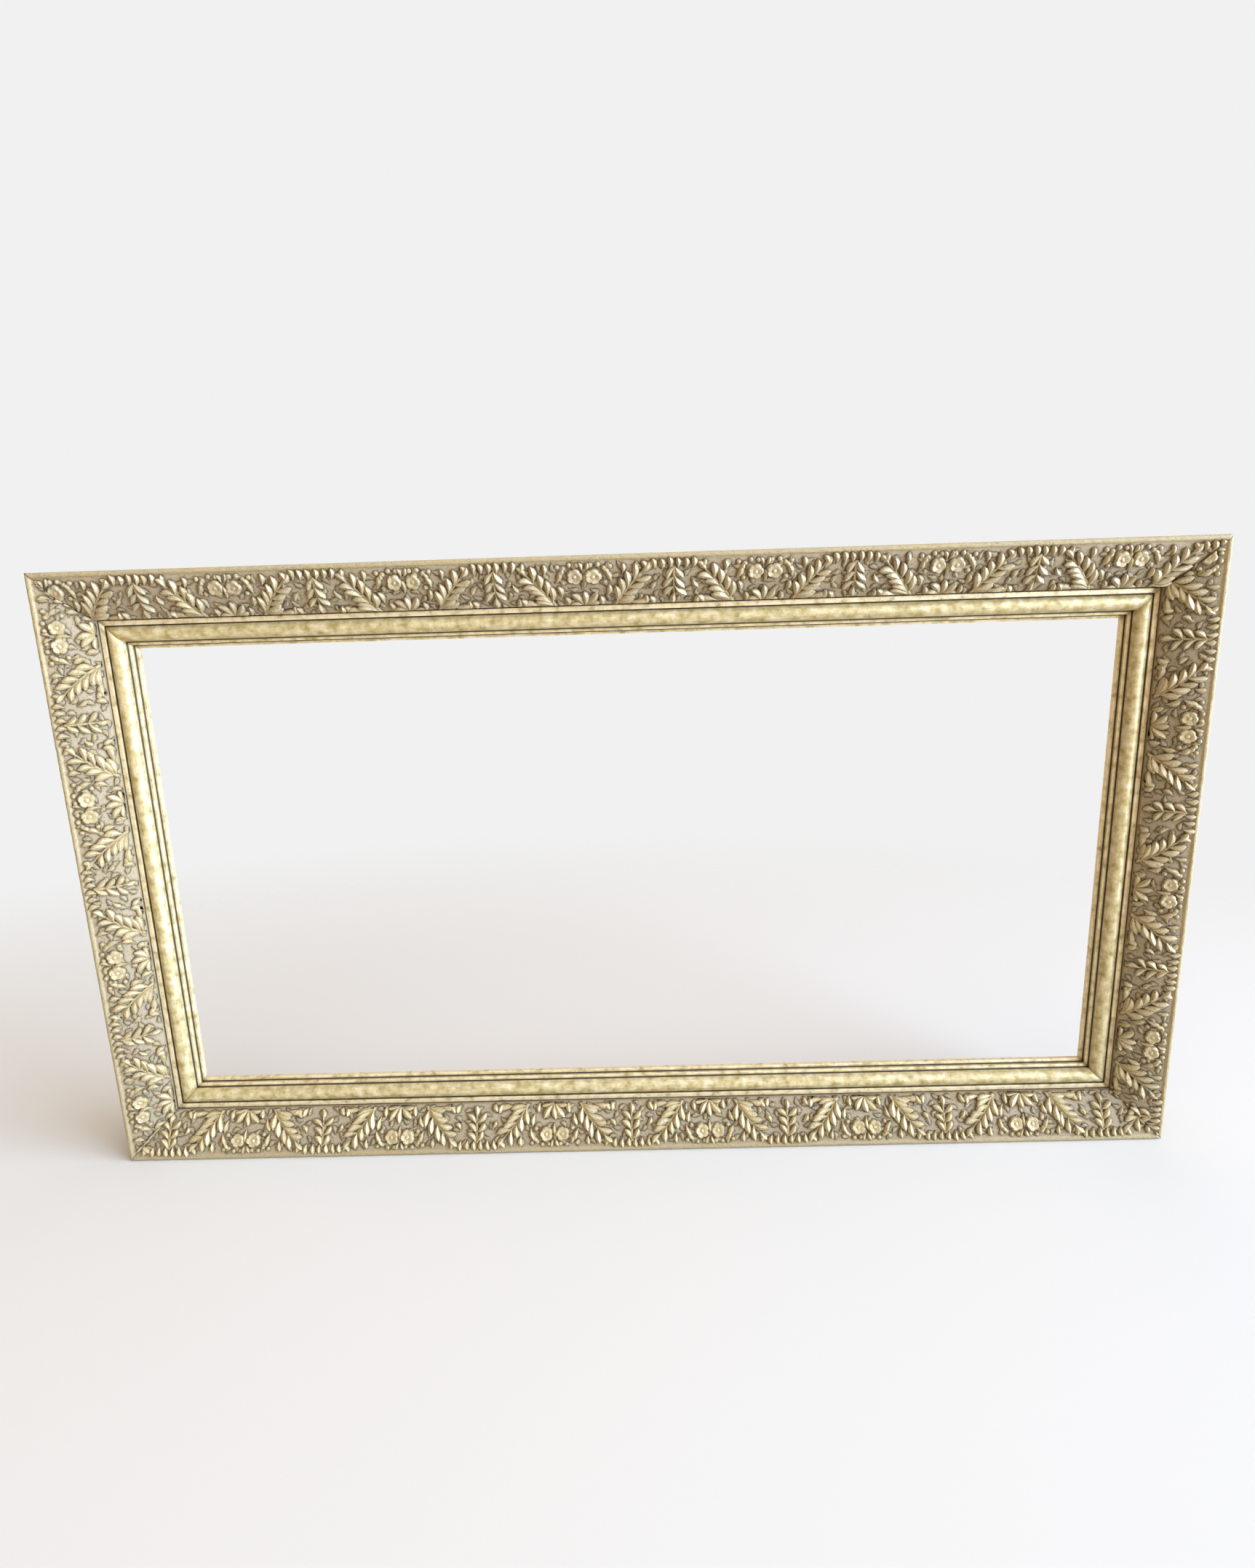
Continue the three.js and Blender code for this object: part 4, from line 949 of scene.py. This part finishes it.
# Node tree: sets one fixing on each point, turned about Y by the point's own turn and a little chance
def fixingTree():
    tree, given = newTree("drivenFixings", {
        "Geometry": ["Geometry"], "Object": ["Fixing"], "Float": ["Turn Chance"], "Int": ["Seed"],
        "Material": ["Metal"]}, "Set Fixings")
    fixing = addNode(tree, "GeometryNodeObjectInfo", {"Object": given["Fixing"]}, out="Geometry")
    turnOf = addNode(tree, "GeometryNodeInputNamedAttribute", {"Name": "turn"}, data_type="FLOAT")
    chance = addNode(tree, "FunctionNodeRandomValue",
                     {"Max_001": given["Turn Chance"], "Seed": given["Seed"]},
                     out="Value_001", data_type="FLOAT")
    turn = addNode(tree, "ShaderNodeMath", {"Value": turnOf, "Value_001": chance}, operation="ADD")
    heading = addNode(tree, "ShaderNodeCombineXYZ", {"Y": turn})
    placed = addNode(tree, "GeometryNodeInstanceOnPoints",
                     {"Points": given["Geometry"], "Instance": fixing, "Rotation": heading})
    bare = addNode(tree, "GeometryNodeRemoveAttribute", {"Geometry": placed, "Name": "turn"})
    real = addNode(tree, "GeometryNodeRealizeInstances", {"Geometry": bare})
    metal = addNode(tree, "GeometryNodeSetMaterial", {"Geometry": real, "Material": given["Metal"]})
    addNode(tree, "NodeGroupOutput", {"Set Fixings": metal})
    return tree


# Node tree: a wire of round section along a closed line
def wireTree():
    tree, given = newTree("bentWire", {
        "Geometry": ["Geometry"], "Float": ["Wire Radius"], "Int": ["Facets"], "Material": ["Metal"]}, "Wire")
    line = addNode(tree, "GeometryNodeMeshToCurve", {"Mesh": given["Geometry"]})
    section = addNode(tree, "GeometryNodeCurvePrimitiveCircle",
                      {"Resolution": given["Facets"], "Radius": given["Wire Radius"]})
    wire = addNode(tree, "GeometryNodeCurveToMesh", {"Curve": line, "Profile Curve": section})
    smooth = addNode(tree, "GeometryNodeSetShadeSmooth", {"Geometry": wire})
    real = addNode(tree, "GeometryNodeRealizeInstances", {"Geometry": smooth})
    metal = addNode(tree, "GeometryNodeSetMaterial", {"Geometry": real, "Material": given["Metal"]})
    addNode(tree, "NodeGroupOutput", {"Wire": metal})
    return tree


screw = {
    "profile": ((0, -14), (1.5, -11), (1.5, 0), (3.1, 0), (3.1, 0.35), (2.85, 1.0), (2.25, 1.55), (1.3, 1.9),
                (0, 2)),
    "headHeight": 2.0, "slotWidth": 0.8, "slotDepth": 1.1, "slotReach": 5.0, "slotOver": 1.0, "around": 28,
    "seed": 5,
}
brad = {
    "profile": ((0, -12), (0.8, -10.4), (0.8, 10.2), (1.5, 10.2), (1.5, 10.65), (1.3, 11), (0, 11)),
    "middle": -0.5, "around": 16, "seed": 3,
}


def screwObject():
    piece = newObject("slottedScrew", turnedMesh("slottedScrew", screw["profile"], screw["around"]))
    wide, long = screw["slotWidth"] / 2 * mm, screw["slotReach"] * mm
    floor = (screw["headHeight"] - screw["slotDepth"]) * mm
    roof = (screw["headHeight"] + screw["slotOver"]) * mm
    corners = [(x, y, z) for x in (-long, long) for y in (floor, roof) for z in (-wide, wide)]
    faces = [(0, 1, 3, 2), (4, 6, 7, 5), (0, 4, 5, 1), (2, 3, 7, 6), (0, 2, 6, 4), (1, 5, 7, 3)]
    cutter = newObject("slotCutter", meshFrom("slotCutter", corners, faces))
    faceOutwards(cutter.data)
    cut = piece.modifiers.new("slot", "BOOLEAN")
    cut.object = cutter
    settle(piece)
    smoothShaded(piece.data, metalCrease)
    bpy.data.objects.remove(cutter)
    return piece


def fixingPoints(name, rows):
    mesh = meshFrom(name, [place for place, turn in rows])
    setPointValues(mesh, "turn", "FLOAT", [turn for place, turn in rows])
    return newObject(name, mesh)


setFixings = fixingTree()
screwNodes = [node for node in frame["nodes"] if "screw" in node]
screwRows = []
for node in screwNodes:
    low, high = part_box(node)
    screwRows.append((((low.x + high.x) / 2, high.y - screw["headHeight"] * mm, (low.z + high.z) / 2), 0.0))
screwProto = screwObject()
screws = grow(fixingPoints("slottedScrews", screwRows), setFixings,
              {"Fixing": screwProto, "Turn Chance": math.pi, "Seed": screw["seed"], "Metal": brass})
standFor(screws, *screwNodes)
bpy.data.objects.remove(screwProto)

bradNodes = [node for node in frame["nodes"] if node.startswith("brad")]
bradRows = []
for node in bradNodes:
    side = sides[node.split("_")[1]]
    low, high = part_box(node)
    headwards = side["toPlace"].to_3x3() @ Vector((0, 0, -1))
    place = (low + high) / 2 - headwards * brad["middle"] * mm
    bradRows.append((tuple(place), math.radians(side["turn"])))
bradMesh = turnedMesh("cutBrad", brad["profile"], brad["around"])
bradMesh.transform(Matrix.Rotation(math.radians(-90), 4, "X"))  # head towards the opening
bradProto = newObject("cutBrad", bradMesh)
brads = grow(fixingPoints("cutBrads", bradRows), setFixings,
             {"Fixing": bradProto, "Turn Chance": 0.0, "Seed": brad["seed"], "Metal": iron})
standFor(brads, *bradNodes)
bpy.data.objects.remove(bradProto)
print("fixings driven:", len(screwRows), "screws,", len(bradRows), "brads")


# Turn buttons: stamped brass, a broad heel round the screw and a narrower tip
button = {"heel": 5.2, "tip": 3.4, "arm": 13.0, "hole": 2.1, "holeLip": 0.1, "edge": 0.35, "crease": 35,
          "heelSteps": 36, "tipSteps": 18}


def buttonOutline():
    flare = math.acos((button["heel"] - button["tip"]) / button["arm"])
    points = []
    for i in range(button["tipSteps"] + 1):
        angle = flare * (2 * i / button["tipSteps"] - 1)
        points.append(Vector((button["arm"], 0)) + button["tip"] * Vector((math.cos(angle), math.sin(angle))))
    for i in range(button["heelSteps"] + 1):
        angle = flare + (2 * math.pi - 2 * flare) * i / button["heelSteps"]
        points.append(button["heel"] * Vector((math.cos(angle), math.sin(angle))))
    return points


def buttonPiece(name):
    low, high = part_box("turn_button_" + name)
    screwLow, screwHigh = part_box("button_screw_" + name)
    pivot = (screwLow + screwHigh) / 2
    reaches = {(1, 0): high.x - pivot.x, (-1, 0): pivot.x - low.x,
               (0, 1): high.z - pivot.z, (0, -1): pivot.z - low.z}
    armX, armZ = max(reaches, key=reaches.get)
    thick, edge, lip = (high.y - low.y) / mm, button["edge"], button["holeLip"]
    outline = buttonOutline()
    hole = [point.normalized() * button["hole"] for point in outline]
    inside = [point - point.normalized() * edge for point in outline]
    rows = [(hole, lip), (inside, 0), (outline, edge),
            (outline, thick - edge), (inside, thick), (hole, thick - lip)]
    vertices = []
    for points, rise in rows:
        for p in points:
            across, along = p.x * armX - p.y * armZ, p.x * armZ + p.y * armX
            vertices.append((pivot.x + across * mm, low.y + rise * mm, pivot.z + along * mm))
    faces = gridFaces(len(rows), len(outline), rowsClose=True, lastMeetsFirst=True)
    mesh = meshFrom("stampedButton_" + name, vertices, faces)
    faceOutwards(mesh, mergeWithin=weld)
    smoothShaded(mesh, button["crease"])
    mesh.materials.append(brass)
    return newObject("stampedButton_" + name, mesh)


for node in [node for node in frame["nodes"] if node.startswith("turn_button")]:
    standFor(buttonPiece(node.removeprefix("turn_button_")), node)
print("turn buttons stamped")


# Hangers: a rolled strap on each stile and the wire ring that swings in it
ring = {"width": 20.0, "corner": 3.0, "leg": 9.0, "wire": 1.5, "facets": 16, "bowSteps": 28, "cornerSteps": 8}
strap = {"flatWithin": 1, "softEdge": 0.25, "edgeSteps": 2, "edgeTurn": 35}


def ringLine():
    half, corner = ring["width"] / 2, ring["corner"]
    legFoot = -corner - ring["leg"]
    points = []
    for start, centre, radius, steps in ((90, (corner - half, -corner), corner, ring["cornerSteps"]),
                                         (180, (0, legFoot), half, ring["bowSteps"]),
                                         (0, (half - corner, -corner), corner, ring["cornerSteps"])):
        sweep = 180 if radius == half else 90
        for i in range(steps + 1):
            angle = math.radians(start + sweep * i / steps)
            points.append((centre[0] + radius * math.cos(angle), centre[1] + radius * math.sin(angle)))
    return points


def hangerPieces(hand):
    low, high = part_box("d_ring_" + hand)
    line = [((low.x + high.x) / 2 + x * mm, (low.y + high.y) / 2, high.z + (z - ring["wire"]) * mm)
            for x, z in ringLine()]
    mesh = meshFrom("wireRing_" + hand, line, edges=[(i, (i + 1) % len(line)) for i in range(len(line))])
    wire = grow(newObject("wireRing_" + hand, mesh), bendWire,
                {"Wire Radius": ring["wire"] * mm, "Facets": ring["facets"], "Metal": brass})
    standFor(wire, "d_ring_" + hand)

    strapMesh = frame["nodes"]["strap_" + hand].data.copy()
    with editing(strapMesh) as shape:
        bmesh.ops.remove_doubles(shape, verts=shape.verts, dist=weld)
        bmesh.ops.dissolve_limit(shape, angle_limit=math.radians(strap["flatWithin"]),
                                 verts=shape.verts, edges=shape.edges)
    piece = newObject("rolledStrap_" + hand, strapMesh)
    edges = piece.modifiers.new("softEdges", "BEVEL")
    edges.width = strap["softEdge"] * mm
    edges.segments = strap["edgeSteps"]
    edges.angle_limit = math.radians(strap["edgeTurn"])
    settle(piece)
    smoothShaded(piece.data, metalCrease)
    piece.data.materials.clear()
    piece.data.materials.append(brass)
    standFor(piece, "strap_" + hand)


bendWire = wireTree()
for hand in ("left", "right"):
    hangerPieces(hand)
print("hangers made")


# Camera where the photograph was taken from, floor, light
view = {
    "place": (13, -934, 305), "forward": (-0.0165, 0.9732, -0.2294), "up": (0.0282, 0.2298, 0.9728),
    "focalPixels": 1219, "imageHeight": 2156, "sensor": 36.0, "clipEnd": 50,
}


def photoCamera():
    camera = newObject("photoCamera", bpy.data.cameras.new("photoCamera"))
    camera.data.sensor_width = view["sensor"]
    camera.data.lens = view["focalPixels"] / view["imageHeight"] * view["sensor"]
    forward = Vector(view["forward"]).normalized()
    right = forward.cross(Vector(view["up"])).normalized()
    turn = Matrix((right, right.cross(forward), -forward)).transposed().to_4x4()
    camera.matrix_world = Matrix.Translation(Vector(view["place"]) * mm) @ turn
    camera.data.clip_end = view["clipEnd"]
    bpy.context.scene.camera = camera


def softLight(name, place, aim, size, power, colour):
    light = bpy.data.lights.new(name, "AREA")
    light.color = linearColour(colour)[:3]
    light.size = size
    light.energy = power
    lamp = newObject(name, light)
    lamp.location = place
    lamp.rotation_euler = (Vector(aim) - Vector(place)).to_track_quat("-Z", "Y").to_euler()


# A dim warm room, paler straight before and behind the frame, with a broad cool window off to the right
room = {"facing": (0.1, -0.99, 0.1), "dim": 0.3, "pale": 1.1, "window": (0.9, -0.4, 0.17), "bright": 13.0}
paper = {"reach": 2.6, "drop": 0.5, "squeeze": 0.6, "fadeFrom": 0.4, "fadeTo": 1.3, "colour": "#d7d3c6"}
lamps = {
    "windowSoftbox": {"place": (2.7, -1.2, 0.45), "aim": (-0.1, 0, 0), "size": 2.4, "power": 132,
                      "colour": "#b0d0ff"},
    "overheadSoftbox": {"place": (0.2, -0.3, 2.3), "aim": (0, 0, -0.3), "size": 3.0, "power": 50,
                        "colour": "#dbe8ff"},
}


# Pale paper floor that fades out into the pale room
def paleStage():
    material, tree, shader = newMaterial("palePaper")
    place = addNode(tree, "ShaderNodeTexCoord", out="Object")
    squeezed = addNode(tree, "ShaderNodeMapping", {"Vector": place, "Scale": (paper["squeeze"], 1.0, 0.0)})
    away = addNode(tree, "ShaderNodeVectorMath", {"Vector": squeezed}, out="Value", operation="LENGTH")
    shown = addNode(tree, "ShaderNodeMapRange",
                    {"Value": away, "From Min": paper["fadeFrom"], "From Max": paper["fadeTo"],
                     "To Min": 1.0, "To Max": 0.0}, interpolation_type="SMOOTHSTEP")
    plug(tree, shader, {"Base Color": paper["colour"], "Roughness": 0.95, "Alpha": shown,
                        "Specular IOR Level": 0.1})
    ground = cadBox[0][2] - paper["drop"] * mm
    reach = paper["reach"]
    corners = [(-reach, -reach, ground), (reach, -reach, ground),
               (reach, reach, ground), (-reach, reach, ground)]
    floor = newObject("paleFloor", meshFrom("paleFloor", corners, [(0, 1, 2, 3)]))
    floor.data.materials.append(material)

    world = bpy.data.worlds.new("paleRoom")
    world.use_nodes = True
    bpy.context.scene.world = world
    tree = world.node_tree
    seen = addNode(tree, "ShaderNodeLightPath", out="Is Camera Ray")
    towards = addNode(tree, "ShaderNodeTexCoord", out="Generated")
    facing = addNode(tree, "ShaderNodeVectorMath", {"Vector": towards, "Vector_001": room["facing"]},
                     out="Value", operation="DOT_PRODUCT")
    either = addNode(tree, "ShaderNodeMath", {"Value": facing}, operation="ABSOLUTE")
    pale = addNode(tree, "ShaderNodeMapRange", {"Value": either, "From Min": 0.3, "From Max": 0.9},
                   interpolation_type="SMOOTHSTEP")
    glow = addNode(tree, "ShaderNodeMapRange", {"Value": pale, "To Min": room["dim"], "To Max": room["pale"]})
    hue = addNode(tree, "ShaderNodeMix", {"Factor_Float": pale, "A_Color": "#ffd5a6", "B_Color": "#ffeedc"},
                  **colourMix)
    sidelong = addNode(tree, "ShaderNodeVectorMath", {"Vector": towards, "Vector_001": room["window"]},
                       out="Value", operation="DOT_PRODUCT")
    window = addNode(tree, "ShaderNodeMapRange", {"Value": sidelong, "From Min": 0.8, "From Max": 0.98},
                     interpolation_type="SMOOTHSTEP")
    lit = addNode(tree, "ShaderNodeMapRange", {"Value": window, "To Min": glow, "To Max": room["bright"]})
    litHue = addNode(tree, "ShaderNodeMix", {"Factor_Float": window, "A_Color": hue, "B_Color": "#bcd8ff"},
                     **colourMix)
    strength = addNode(tree, "ShaderNodeMapRange", {"Value": seen, "To Min": lit, "To Max": 1.0})
    colour = addNode(tree, "ShaderNodeMix", {"Factor_Float": seen, "A_Color": litHue, "B_Color": "#f1f1f1"},
                     **colourMix)
    plug(tree, tree.nodes["Background"], {"Color": colour, "Strength": strength})


photoCamera()
paleStage()
for name, lamp in lamps.items():
    softLight(name, **lamp)
bpy.context.scene.view_settings.view_transform = "Standard"
print("camera, light and floor set")
